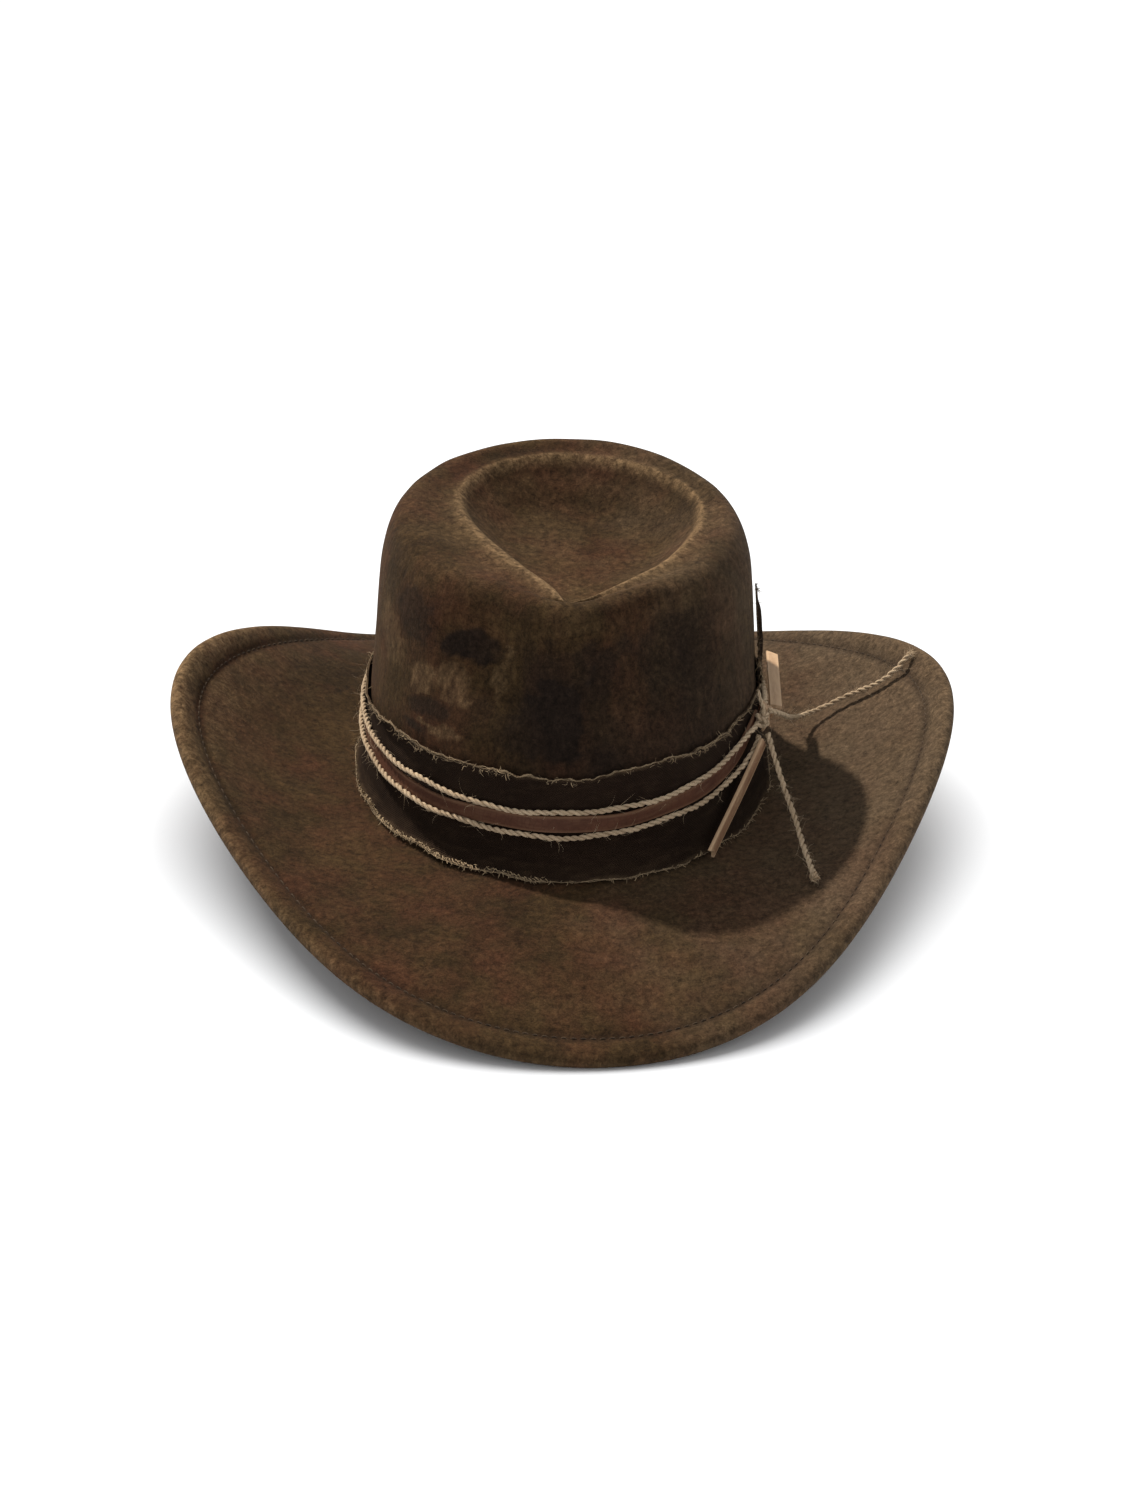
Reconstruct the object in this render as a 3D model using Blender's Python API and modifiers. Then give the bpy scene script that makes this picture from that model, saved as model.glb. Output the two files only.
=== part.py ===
"""Cowboy hat: wired felt body, frayed cloth band, leather thong and jute twine.

Units are metres, +Z up, the front of the hat faces -Y.  The origin is the
bottom centre of the bounding box: the front and back of the brim edge rest on
z = 0.  Heights on the crown are measured up from the break, the line where the
crown turns into the brim; "off" is a distance outward from the mid-surface of
the felt.
"""
import math

import bmesh
import bpy
import numpy as np
from mathutils import Matrix, Vector

MM = 0.001

# ---- felt body -------------------------------------------------------------
FELT_T = 2.0 * MM                 # felt thickness
BREAK_Z = 22.4 * MM               # height of the break above the table
CROWN_Y = 3.3 * MM                # crown centre sits this far behind the brim centre
HEAD_A, HEAD_B = 85.5 * MM, 103.0 * MM      # half width and half length at the break
TOP_A, TOP_B = 77.0 * MM, 84.0 * MM         # the same at the shoulder
SHOULDER_Z = 88.0 * MM            # height where the wall starts to round over
CREST_Z = 115.0 * MM              # height of the rim around the dish, at mid length
CREST_SLOPE = 0.09                # the rim climbs toward the back
SHOULDER_R = 9.0 * MM             # how far the shoulder rounds inward
BRIM_A, BRIM_B = 157.0 * MM, 190.5 * MM     # brim half width and half length, before shaping
SIDE_RISE = 30.4 * MM             # how much the sides roll up and the ends dip
SIDE_SHARP = 5.2 * MM             # how tightly the roll is gathered at the sides
BRIM_LIFT = 5.8 * MM              # mean height of the edge above the break
END_DIP = 19.8 * MM               # the front and back edge stop this far below the break
PINCH_DEPTH = 6.0 * MM            # the two finger dents in the front of the crown
PINCH_DEG, PINCH_TURN = (246.0, 294.0), 17.0        # where they are around the crown, and their spread
PINCH_Z, PINCH_TALL = 88 * MM, 22 * MM      # height of their middle and their spread in height
DISH_DEPTH = 21.0 * MM            # depth of the teardrop dish below the crest
LIP_DROP = 3.5 * MM               # the lip of the dish lies this far below the crest
LIP_ROLL = 0.9 * MM               # the felt bulges this much between crest and lip
TEAR_A, TEAR_B = 74 * MM, 66 * MM           # half width and half length of the teardrop
TEAR_SIDES = 9.5 * MM             # its left side is drawn in and its right side let out
TEAR_SHIFT = (-1 * MM, -3 * MM)   # its middle, from the crown centre
DISH_HEART = (6.0 * MM, 8.0 * MM)  # deepest point of the dish, from the crown centre
WALL_LEVELS = (10, 27, 44, 60, 75, 88)      # rows of the crown wall, millimetres above the break
COLUMNS = 48                      # divisions around the hat

# ---- rolled brim edge ------------------------------------------------------
FOLD_R = 2.4 * MM                 # mid-surface radius of the fold around the wire
WELT_GAP = 2.4 * MM               # mid-surface distance between brim and folded welt
GROOVE_IN = 10.5 * MM             # stitched groove, in from the edge
WIRE_R = 0.7 * MM
JOINER_R, JOINER_T, JOINER_L = 0.98 * MM, 0.2 * MM, 16.0 * MM

# ---- trim around the crown -------------------------------------------------
BAND_T = 0.9 * MM
BAND_OFF = 1.8 * MM               # mid-surface of the cloth band
STRAP_W, STRAP_T = 6.4 * MM, 1.4 * MM
STRAP_OFF = 3.45 * MM
TWINE_R = 1.15 * MM
TWINE_OFF = 3.95 * MM
TWINE_SPREAD = 4.75 * MM          # each twine runs this far above or below the strap
KNOT_DEG = 333.5                  # where the twine is tied
THONG_DEG = 339.2                 # where the leather is tied
TAIL_W, TAIL_T = 5.2 * MM, 1.4 * MM
TAIL_SLANT = 1.4 * MM             # half the difference between the two edges of a cut end
LEATHER_KNOT = (4.4 * MM, 2.5 * MM, 2.6 * MM)       # half width, half height, half depth
TWINE_KNOT = (3.4 * MM, 3.9 * MM, 3.1 * MM)
KNOT_OFF, KNOT_LIFT = 7.4 * MM, 2 * MM      # twine knot: off the crown, and above the strap
THONG_OFF = 7.0 * MM              # leather knot, off the crown
STRAP_GAP, TWINE_GAP = 3.3, 2.6   # degrees from a knot to the end of what it ties
BAND_TOP = 43.5 * MM              # height of the cloth's upper edge
BAND_RISE = 4.5 * MM              # how much higher it is under the knot
FLAP_DEG = (346.0, 360.5)         # where the torn end of the cloth stands up
FLAP_Z = (56 * MM, 88 * MM)       # height of its torn edge, at the ends and in the middle
FLAP_GAP = 2 * MM                 # it starts this far above the band

# ---- inside ----------------------------------------------------------------
SWEAT_T, SWEAT_TOP = 1.0 * MM, 36.0 * MM
SWEAT_IN = 2.0 * MM               # the sweatband lies this far in from the middle of the felt
REED_R = 1.0 * MM
LINING_T, LINING_TOP = 0.8 * MM, 84.0 * MM
LINING_IN = 2.1 * MM
BOW_SPAN = (11 * MM, 7 * MM, 1.6 * MM)      # distances out along a wing of the bow
BOW_HALF = (3.6 * MM, 3.4 * MM, 1.6 * MM)   # half its width there
BOW_T = 1.1 * MM
BOW_BEND = 130 * MM               # twice the radius the bow is bent to
BOW_Z, BOW_IN = 7 * MM, 4.2 * MM  # its height above the break and distance in


def wave(theta, terms):
    """Sum of terms (order, cosine size, sine size)."""
    return sum(ca * np.cos(n * theta) + sa * np.sin(n * theta) for n, ca, sa in terms)


def unit(v):
    return v / np.linalg.norm(v, axis=-1, keepdims=True)


def brim_edge(theta):
    """Outermost line of the brim."""
    x = BRIM_A * np.cos(theta) * (1 + wave(theta, [(2, .014, 0), (4, .048, 0)]))
    y = BRIM_B * np.sin(theta) * (1 - wave(theta, [(2, .067, 0), (4, .046, 0), (6, .009, 0)]))
    z = BRIM_LIFT + wave(theta, [(2, SIDE_RISE, -1.3 * MM), (4, SIDE_SHARP, -2.0 * MM),
                                 (1, 0, -1.2 * MM), (3, 0, 2.8 * MM), (5, 0, 4.0 * MM)])
    over = z + END_DIP
    z = 0.5 * (over + np.sqrt(over ** 2 + (0.5 * MM) ** 2)) - END_DIP
    return np.stack([x, y, z + BREAK_Z], -1)


def pinch(theta, z):
    """Inward push of the two dents either side of the front ridge."""
    push = 0
    for middle in PINCH_DEG:
        turn = (np.degrees(theta) % 360 - middle) / PINCH_TURN
        push = push + PINCH_DEPTH * np.exp(-turn ** 2 - ((z - PINCH_Z) / PINCH_TALL) ** 2)
    return push


def crown_point(theta, z, off=0.0):
    """Point on the crown wall at a height above the break."""
    t = z / SHOULDER_Z
    a = HEAD_A + (TOP_A - HEAD_A) * t
    b = HEAD_B + (TOP_B - HEAD_B) * t
    c, s = np.cos(theta), np.sin(theta)
    n = unit(np.stack([c / a, s / b, 0 * c], -1))
    p = np.stack([a * c, b * s + CROWN_Y, z + BREAK_Z + 0 * c], -1)
    return p + n * np.reshape(off - pinch(theta, z), (-1, 1))


def brim_base(theta, dist):
    """Brim surface at a distance in from the edge, in plan."""
    inner, edge = crown_point(theta, 0 * theta), brim_edge(theta)
    width = np.linalg.norm((edge - inner)[:, :2], axis=1)
    u = 1 - dist / width
    p = inner + (edge - inner) * u[:, None]
    bend = 1.8 + 0.2 * np.cos(2 * theta)
    p[:, 2] = BREAK_Z + (edge[:, 2] - BREAK_Z) * np.clip(u, 0, None) ** bend
    return p


def brim_frame(theta):
    """Outward and upward directions of the brim along its edge."""
    step = 1e-3
    along = unit(brim_edge(theta + step) - brim_edge(theta - step))
    out = brim_base(theta, 0 * theta) - brim_base(theta, 3 * MM + 0 * theta)
    out = unit(out - along * np.sum(out * along, axis=1, keepdims=True))
    return out, np.cross(out, along)


def crest_z(y):
    return CREST_Z + CREST_SLOPE * y


def teardrop(theta):
    """Outline of the dish in plan, pointed at the front."""
    c, s = np.cos(theta), np.sin(theta)
    x = TEAR_A * c * ((1 + s) / 2) ** 0.75 * (1 - 0.18 * s ** 2) + TEAR_SIDES * c ** 2
    return np.stack([x, TEAR_B * s], -1) + TEAR_SHIFT


def felt_rows(theta):
    """Mid-surface of the felt from the raw edge of the welt to the dish floor."""
    return edge_rows(theta) + brim_rows(theta) + wall_rows(theta) + dish_rows(theta)


def fold_centre(theta):
    out, up = brim_frame(theta)
    return brim_base(theta, FOLD_R + FELT_T / 2 + 0 * theta) - up * WELT_GAP / 2


def edge_rows(theta):
    """Welt under the brim, the fold around the wire and the groove above it."""
    out, up = brim_frame(theta)
    heart = fold_centre(theta)
    turns = [math.radians(deg) for deg in (-90, -45, 0, 45, 90)]
    under = [(13.5, -0.1), (10.5, -0.5), (7.0, -0.8)]
    rows = [brim_base(theta, dist * MM + 0 * theta) + up * (lift * MM - WELT_GAP) for dist, lift in under]
    rows += [heart + (out * math.cos(a) + up * math.sin(a)) * FOLD_R for a in turns]
    over = [(7.0, 0.8), (GROOVE_IN / MM, -0.5)]
    return rows + [brim_base(theta, dist * MM + 0 * theta) + up * lift * MM for dist, lift in over]


def brim_rows(theta):
    width = np.linalg.norm((brim_edge(theta) - crown_point(theta, 0 * theta))[:, :2], axis=1)
    shares = (0.15, 0.3, 0.46, 0.62, 0.78, 0.91)
    return [brim_base(theta, GROOVE_IN + (width - GROOVE_IN) * share) for share in shares]


def wall_rows(theta):
    """The break, the wall and the rounded shoulder up to the crest."""
    fillet = ((3.4, 0.3), (1.2, 1.3), (0.2, 3.8))
    rows = [crown_point(theta, z * MM + 0 * theta, off * MM) for off, z in fillet]
    rows += [crown_point(theta, z * MM + 0 * theta) for z in WALL_LEVELS]
    c, s = np.cos(theta), np.sin(theta)
    for f in np.radians((25, 48, 70, 90)):
        shrink = 1.5 * MM * math.sin(f) + SHOULDER_R * (1 - math.cos(f))
        p = np.stack([(TOP_A - shrink) * c, (TOP_B - shrink) * s, 0 * c], -1)
        p[:, 2] = SHOULDER_Z + (crest_z(p[:, 1]) - SHOULDER_Z) * math.sin(f)
        n = unit(np.stack([c / TOP_A, s / TOP_B, 0 * c], -1))
        rows.append(p + [0, CROWN_Y, BREAK_Z] - n * pinch(theta, p[:, 2])[:, None])
    return rows


def dish_rows(theta):
    """From the crest over the lip of the teardrop down to the dish floor."""
    tear = teardrop(theta)
    lip = np.concatenate([tear, (crest_z(tear[:, 1]) - LIP_DROP)[:, None]], 1) + [0, CROWN_Y, BREAK_Z]
    crest = wall_rows(theta)[-1]
    rows = [(crest + lip) / 2 + [0, 0, LIP_ROLL], lip]
    for share, depth in ((0.84, 0.42), (0.66, 0.84), (0.44, 0.97), (0.2, 1.0)):
        q = np.array(DISH_HEART) + (tear - DISH_HEART) * share
        z = crest_z(q[:, 1]) - LIP_DROP - (DISH_DEPTH - LIP_DROP) * depth
        rows.append(np.concatenate([q, z[:, None]], 1) + [0, CROWN_Y, BREAK_Z])
    return rows


# ---- lines the trim follows ------------------------------------------------
def strap_height(theta):
    """Height of the leather strap: low in front, high at the knot."""
    turn = (np.degrees(theta) - 337 + 180) % 360 - 180
    return (29 + 4.6 * np.sin(theta) + 5.5 * np.exp(-(turn / 45) ** 2)
            + 8 * np.exp(-(turn / 14) ** 2)) * MM


def knot_turn(theta):
    return (np.degrees(theta) - KNOT_DEG + 180) % 360 - 180


def twine_point(theta, side):
    """Centre of the twine: side +1 is the upper strand, -1 the lower."""
    turn = knot_turn(theta)
    spread = TWINE_SPREAD - 3.2 * MM * np.exp(-(turn / 3.5) ** 2)
    off = TWINE_OFF + 3.4 * MM * np.exp(-(turn / 11) ** 2)
    return crown_point(theta, strap_height(theta) + side * spread, off)


def knot_frame(deg, off, lift=0.0):
    """Centre, sideways, upward and outward directions of a knot on the crown."""
    theta = np.radians([deg])
    z = strap_height(theta) + lift
    p = crown_point(theta, z, off)[0]
    out = unit(crown_point(theta, z, off)[0] - crown_point(theta, z, 0.0)[0])
    side = unit(np.cross([0, 0, 1.0], out))
    return p, side, np.cross(out, side), out


# loose ends of the twine, from the knot out over the brim, and the end of the leather that
# stands out to the rear: x, y and height above the break, in millimetres
SIDE_TAIL = [(82.7, -40.3, 45.4), (87.5, -36, 42.0), (93.3, -24, 34.2), (98.8, -5, 24.4), (104, 13, 15.2),
             (110, 21.5, 12.7), (118, 25, 14.1), (128, 26, 18.9), (141, 22.5, 27), (149, 23, 33.7),
             (155, 26, 39.7)]
FRONT_TAIL = [(81.8, -45.8, 37.4), (83.6, -53, 31.3), (86.7, -63, 22.3), (90, -77, 14.3), (91.6, -93, 9.4),
              (93.4, -111.5, 6.7)]
BACK_TAIL = [(87.8, -26.0, 40.0), (94.2, 31.0, 37.8)]
# the other end of the leather hangs down the crown: its ends around the crown in degrees and
# above the break in millimetres, how far it stands off, and the way its width lies
HANG_DEG, HANG_Z, HANG_OFF = (330.2, 305.5), (35.0, 5.0), 9.4 * MM
HANG_ACROSS = (0.50, 0.62, -0.60)


def spline(points, count):
    """Smooth curve through points given from the break, in metres."""
    pts = np.asarray(points, dtype=float) * MM + [0, 0, BREAK_Z]
    pts = np.concatenate([[2 * pts[0] - pts[1]], pts, [2 * pts[-1] - pts[-2]]])
    spans = len(pts) - 3
    out = []
    for u in np.linspace(0, spans, count):
        i = min(int(u), spans - 1)
        t = u - i
        a, b, c, d = pts[i:i + 4]
        out.append(0.5 * (2 * b + (c - a) * t + (2 * a - 5 * b + 4 * c - d) * t ** 2
                          + (3 * b - a - 3 * c + d) * t ** 3))
    return np.array(out)


# ---- Blender helpers -------------------------------------------------------
LOOKS = {                         # colour, roughness, metallic
    "felt": ((0.075, 0.042, 0.020, 1), 0.95, 0.0),
    "lining": ((0.10, 0.075, 0.050, 1), 0.7, 0.0),
    "cloth": ((0.050, 0.030, 0.018, 1), 0.95, 0.0),
    "leather": ((0.17, 0.065, 0.030, 1), 0.6, 0.0),
    "jute": ((0.52, 0.40, 0.24, 1), 0.9, 0.0),
    "steel": ((0.55, 0.55, 0.55, 1), 0.35, 1.0),
    "plastic": ((0.06, 0.05, 0.045, 1), 0.5, 0.0),
}


def place(name, data, look, collection, origin=(0, 0, 0)):
    """Put a mesh or curve into the collection with its own material."""
    colour, rough, metal = LOOKS[look]
    mat = bpy.data.materials.new(name + "_" + look)
    mat.use_nodes = True
    bsdf = mat.node_tree.nodes["Principled BSDF"]
    bsdf.inputs["Base Color"].default_value = colour
    bsdf.inputs["Roughness"].default_value = rough
    bsdf.inputs["Metallic"].default_value = metal
    mat.diffuse_color = colour
    data.materials.append(mat)
    obj = bpy.data.objects.new(name, data)
    obj.location = origin
    collection.objects.link(obj)
    return obj


def surface(name, rows, closed=True, capped=False):
    """Open surface through rows of points; closed joins each row's ends."""
    rows = np.asarray(rows)
    count, size = rows.shape[:2]
    faces = []
    for i in range(count - 1):
        for k in range(size if closed else size - 1):
            m = (k + 1) % size
            faces.append((i * size + k, i * size + m, (i + 1) * size + m, (i + 1) * size + k))
    verts = [tuple(v) for v in rows.reshape(-1, 3)]
    if capped:
        verts.append(tuple(rows[-1].mean(axis=0)))
        last = (count - 1) * size
        faces += [(last + k, last + (k + 1) % size, len(verts) - 1) for k in range(size)]
    mesh = bpy.data.meshes.new(name)
    mesh.from_pydata(verts, [], faces)
    mesh.shade_smooth()
    mesh.set_sharp_from_angle(angle=math.radians(45))
    return mesh


def thicken(obj, thickness):
    mod = obj.modifiers.new("thickness", "SOLIDIFY")
    mod.thickness = thickness
    mod.offset = 0.0
    mod.use_even_offset = True
    mod.use_quality_normals = True


def cord_curve(name, points, radius, closed=False):
    """Round cord or wire along points."""
    curve = bpy.data.curves.new(name, "CURVE")
    curve.dimensions = "3D"
    line = curve.splines.new("POLY")
    line.points.add(len(points) - 1)
    for knot, p in zip(line.points, points):
        knot.co = (*p, 1.0)
    line.use_cyclic_u = closed
    curve.bevel_depth = radius
    curve.bevel_resolution = 2
    curve.use_fill_caps = not closed
    return curve


def around(count, start, end):
    return np.radians(np.linspace(start, end, count))


def columns():
    """Angles of the felt's columns, which the trim shares."""
    return np.radians((np.arange(COLUMNS) + 0.5) * 360 / COLUMNS)


def wall_rows_at(theta, profile):
    """Rows lying on the crown, each from a height and a distance outward."""
    return [crown_point(theta, z + 0 * theta, off) for z, off in profile]


# ---- the pieces ------------------------------------------------------------
def build_felt(part, cutters):
    mesh = surface("felt_body", felt_rows(columns()), capped=True)
    obj = place("felt_body", mesh, "felt", part)
    thicken(obj, FELT_T)
    trim = bpy.data.meshes.new("table_trim")
    bm = bmesh.new()
    bmesh.ops.create_cube(bm, size=0.5)
    bm.to_mesh(trim)
    bm.free()
    cutter = bpy.data.objects.new("table_trim", trim)
    cutter.location = (0, 0, -0.25)
    cutter.hide_render = True
    cutter.display_type = "WIRE"
    cutters.objects.link(cutter)
    cut = obj.modifiers.new("rests on table", "BOOLEAN")
    cut.operation = "DIFFERENCE"
    cut.object = cutter


def build_wire(part):
    """Edge wire: one turn inside the fold, its ends held in a joiner at the back."""
    theta = np.radians(90 + (np.arange(COLUMNS) + 0.5) * 360 / COLUMNS)
    path = fold_centre(theta)
    first, last = path[0], path[-1]
    gap = last - first
    path = np.concatenate([[first + gap * 0.3], path, [last - gap * 0.3]])
    place("brim_wire", cord_curve("brim_wire", path, WIRE_R), "steel", part)

    bpy.ops.mesh.primitive_cylinder_add(vertices=10, radius=JOINER_R, depth=JOINER_L, end_fill_type="NOTHING")
    made = bpy.context.object
    mesh = made.data
    bpy.data.objects.remove(made)
    mesh.name = "wire_joiner"
    obj = place("wire_joiner", mesh, "steel", part, (first + last) / 2)
    obj.rotation_euler = Vector(gap).to_track_quat("Z", "Y").to_euler()
    thicken(obj, JOINER_T)


def build_bands(part):
    theta = columns()
    ripple = np.sin(5 * theta + 1.0) + 0.6 * np.sin(9 * theta)
    top = BAND_TOP + 1.1 * MM * ripple + BAND_RISE * np.exp(-(knot_turn(theta) / 30) ** 2)
    profile = [(3.6 * MM, 2.7 * MM), (6.6 * MM, 1.95 * MM), (14 * MM, BAND_OFF), (top * 0.66, BAND_OFF),
               (top, BAND_OFF + 0.1 * MM)]
    thicken(place("fabric_band", surface("fabric_band", wall_rows_at(theta, profile)), "cloth", part), BAND_T)

    theta = around(7, *FLAP_DEG)
    peak = FLAP_Z[0] + (FLAP_Z[1] - FLAP_Z[0]) * np.sin(np.linspace(0.05, math.pi, 7)) ** 2
    base = top.max() + FLAP_GAP
    profile = [(base, 3.0 * MM), ((base + peak) / 2, 1.9 * MM), (peak, 2.6 * MM)]
    flap = surface("fabric_flap", wall_rows_at(theta, profile), closed=False)
    thicken(place("fabric_flap", flap, "cloth", part), BAND_T)

    theta = around(64, THONG_DEG + STRAP_GAP, THONG_DEG + 360 - STRAP_GAP)
    low = strap_height(theta) - STRAP_W / 2
    rows = wall_rows_at(theta, [(low, STRAP_OFF), (low + STRAP_W, STRAP_OFF)])
    strap = surface("leather_strap", rows, closed=False)
    thicken(place("leather_strap", strap, "leather", part), STRAP_T)

    theta = around(80, KNOT_DEG + TWINE_GAP, KNOT_DEG + 360 - TWINE_GAP)
    for name, side in (("twine_upper", 1), ("twine_lower", -1)):
        place(name, cord_curve(name, twine_point(theta, side), TWINE_R), "jute", part)


def build_knot(name, look, frame, size, part):
    """Rounded lump; size is its half width, half height and half depth."""
    mesh = bpy.data.meshes.new(name)
    bm = bmesh.new()
    bmesh.ops.create_uvsphere(bm, u_segments=10, v_segments=6, radius=1.0)
    bmesh.ops.scale(bm, vec=size, verts=bm.verts)
    bm.to_mesh(mesh)
    bm.free()
    mesh.shade_smooth()
    p, side, up, out = frame
    obj = place(name, mesh, look, part, p)
    obj.rotation_euler = Matrix([side, up, out]).transposed().to_euler()


def build_leather_tail(name, path, facing, part):
    """Flat strip along a path, its end cut on a slant; its origin is the knot end."""
    ahead = unit(np.gradient(path, axis=0))
    side = unit(np.cross(facing, ahead)) * TAIL_W / 2
    slant = np.zeros((len(path), 1))
    slant[-1] = TAIL_SLANT
    rows = [path + side + ahead * slant, path - side - ahead * slant]
    obj = place(name, surface(name, np.array(rows) - path[0], False), "leather", part, path[0])
    thicken(obj, TAIL_T)


def build_tails(part):
    t = np.linspace(0, 1, 6)
    first, last = crown_point(np.radians(HANG_DEG), np.array(HANG_Z) * MM, HANG_OFF)
    path = first + (last - first) * t[:, None]
    facing = np.cross(last - first, HANG_ACROSS)
    build_leather_tail("leather_tail_front", path, facing, part)
    start, end = np.array(BACK_TAIL) * MM + [0, 0, BREAK_Z]
    path = start + (end - start) * t[:, None]
    build_leather_tail("leather_tail_back", path, np.array([0.15, 0, 1.0]), part)
    for name, points, count in (("twine_tail_side", SIDE_TAIL, 26), ("twine_tail_front", FRONT_TAIL, 18)):
        path = spline(points, count)
        place(name, cord_curve(name, path - path[0], TWINE_R), "jute", part, path[0])


def build_inside(part):
    theta = columns()
    profile = [(z, -SWEAT_IN) for z in (1.4 * MM, 12 * MM, 24 * MM, SWEAT_TOP)]
    thicken(place("sweatband", surface("sweatband", wall_rows_at(theta, profile)), "leather", part), SWEAT_T)
    path = crown_point(theta, -0.2 * MM + 0 * theta, -1.9 * MM)
    place("sweatband_reed", cord_curve("sweatband_reed", path, REED_R, closed=True), "plastic", part)
    profile = [(z * MM, -LINING_IN) for z in (37, 44, 60, 75)] + [(LINING_TOP, -LINING_IN - 0.2 * MM)]
    side = surface("lining_side", wall_rows_at(theta, profile))
    thicken(place("lining_side", side, "lining", part), LINING_T)

    rim = crown_point(theta, LINING_TOP + 0.7 * MM, -3.2 * MM)
    outline = bpy.data.curves.new("lining_tip", "CURVE")
    outline.dimensions = "2D"
    outline.fill_mode = "BOTH"
    outline.extrude = LINING_T / 2
    line = outline.splines.new("POLY")
    line.points.add(len(rim) - 1)
    for knot, p in zip(line.points, rim):
        knot.co = (p[0], p[1], 0.0, 1.0)
    line.use_cyclic_u = True
    place("lining_tip", outline, "lining", part, (0, 0, rim[0][2]))


def build_bow(part):
    """Small flat ribbon bow on the sweatband at the back: two wings and a narrow middle."""
    span, half = np.array(BOW_SPAN), np.array(BOW_HALF)
    span, half = np.concatenate([-span, span[::-1]]), np.concatenate([half, half[::-1]])
    rows = [np.stack([span, -span ** 2 / BOW_BEND, h], -1) for h in (half, -half)]
    centre = crown_point(np.radians([90.0]), BOW_Z, -BOW_IN)[0]
    thicken(place("sweatband_bow", surface("sweatband_bow", rows, False), "cloth", part, centre), BOW_T)


def main():
    for obj in list(bpy.data.objects):
        bpy.data.objects.remove(obj, do_unlink=True)
    part = bpy.data.collections.new("cowboy_hat")
    cutters = bpy.data.collections.new("cutters")
    for collection in (part, cutters):
        bpy.context.scene.collection.children.link(collection)
    build_felt(part, cutters)
    build_wire(part)
    build_bands(part)
    build_knot("leather_knot", "leather", knot_frame(THONG_DEG, THONG_OFF), LEATHER_KNOT, part)
    build_knot("twine_knot", "jute", knot_frame(KNOT_DEG, KNOT_OFF, KNOT_LIFT), TWINE_KNOT, part)
    build_tails(part)
    build_inside(part)
    build_bow(part)


main()
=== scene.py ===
import math

import bpy
import numpy as np
from mathutils import Matrix, Vector, noise


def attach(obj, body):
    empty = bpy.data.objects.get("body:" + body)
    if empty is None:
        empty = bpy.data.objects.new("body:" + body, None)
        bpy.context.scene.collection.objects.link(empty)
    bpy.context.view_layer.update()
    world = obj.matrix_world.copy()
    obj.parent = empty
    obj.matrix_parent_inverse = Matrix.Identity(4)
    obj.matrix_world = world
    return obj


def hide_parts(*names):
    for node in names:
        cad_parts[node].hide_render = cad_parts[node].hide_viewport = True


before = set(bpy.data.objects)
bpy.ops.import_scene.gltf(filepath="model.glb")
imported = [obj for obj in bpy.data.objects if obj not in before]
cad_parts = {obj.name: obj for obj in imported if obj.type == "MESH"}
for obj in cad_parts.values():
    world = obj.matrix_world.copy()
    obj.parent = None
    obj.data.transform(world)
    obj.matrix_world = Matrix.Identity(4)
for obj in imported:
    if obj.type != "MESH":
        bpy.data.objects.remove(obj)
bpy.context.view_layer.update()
RNG = np.random.default_rng(11)
MM = 0.001

# ---- shape of the hat, as in the CAD model but for the dents and the tip of the dish
FELT_T = 2.0 * MM
BREAK_Z = 22.4 * MM
CROWN_Y = 3.3 * MM
HEAD_A, HEAD_B = 85.5 * MM, 103.0 * MM
TOP_A, TOP_B = 77.0 * MM, 84.0 * MM
SHOULDER_Z = 88.0 * MM
CREST_Z = 115.0 * MM
CREST_SLOPE = 0.09
SHOULDER_R = 9.0 * MM
BRIM_A, BRIM_B = 157.0 * MM, 190.5 * MM
SIDE_RISE, SIDE_SHARP = 30.4 * MM, 5.2 * MM
BRIM_LIFT, END_DIP = 5.8 * MM, 19.8 * MM
PINCHES = ((244.0, 8.5 * MM, 17.0), (298.0, 9.5 * MM, 19.0))      # dents: angle, depth, spread
PINCH_Z, PINCH_TALL = 88 * MM, 22 * MM
TEAR_A, TEAR_B, TEAR_SIDES = 74 * MM, 66 * MM, 9.5 * MM
TEAR_TIP = -69.5 * MM             # where the dish starts, from the crown centre
TEAR_BACK = 13 * MM               # how far its back is moved back to keep its length
DISH_DEPTH, LIP_DROP = 21.0 * MM, 3.5 * MM
DISH_HEART = (6.0 * MM, 8.0 * MM)
FOLD_R, WELT_GAP, GROOVE_IN = 2.4 * MM, 2.4 * MM, 10.5 * MM
STRAP_OFF, TWINE_R, TWINE_OFF, TWINE_SPREAD = 3.45 * MM, 1.15 * MM, 3.95 * MM, 4.75 * MM
KNOT_DEG, THONG_DEG = 333.5, 339.2
TIP_ROUND = 15.0 * MM             # rounding of the dish's front point
BAND_TOP, BAND_RISE = 43.5 * MM, 4.5 * MM
BAND_FOOT = 6.6 * MM              # height where the band's foot has turned up to the wall
STRAP_W, STRAP_T = 7.0 * MM, 1.2 * MM
TAIL_W, TAIL_T = 5.2 * MM, 1.4 * MM
THONG_KNOT_OFF, TWINE_KNOT_OFF, TWINE_KNOT_LIFT = 7.0 * MM, 7.4 * MM, 2.0 * MM
HANG_DEG, HANG_Z, HANG_OFF = (330.2, 305.5), (35.0, 5.0), 9.4 * MM
HANG_ACROSS = (0.50, 0.62, -0.60)
FLAP_START, FLAP_TURN = 346.0, 14.5
LINING_LOW, LINING_TOP = 37, 84


def wave(theta, terms):
    """Sum of cosines and sines, given as (turns, cosine, sine)."""
    return sum(ca * np.cos(n * theta) + sa * np.sin(n * theta) for n, ca, sa in terms)


def unit(v):
    """Vectors scaled to length 1."""
    return v / np.maximum(np.linalg.norm(v, axis=-1, keepdims=True), 1e-12)


def bell(x, middle, width):
    """1 at the middle, falling off over the width."""
    return np.exp(-((x - middle) / width) ** 2)


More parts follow.
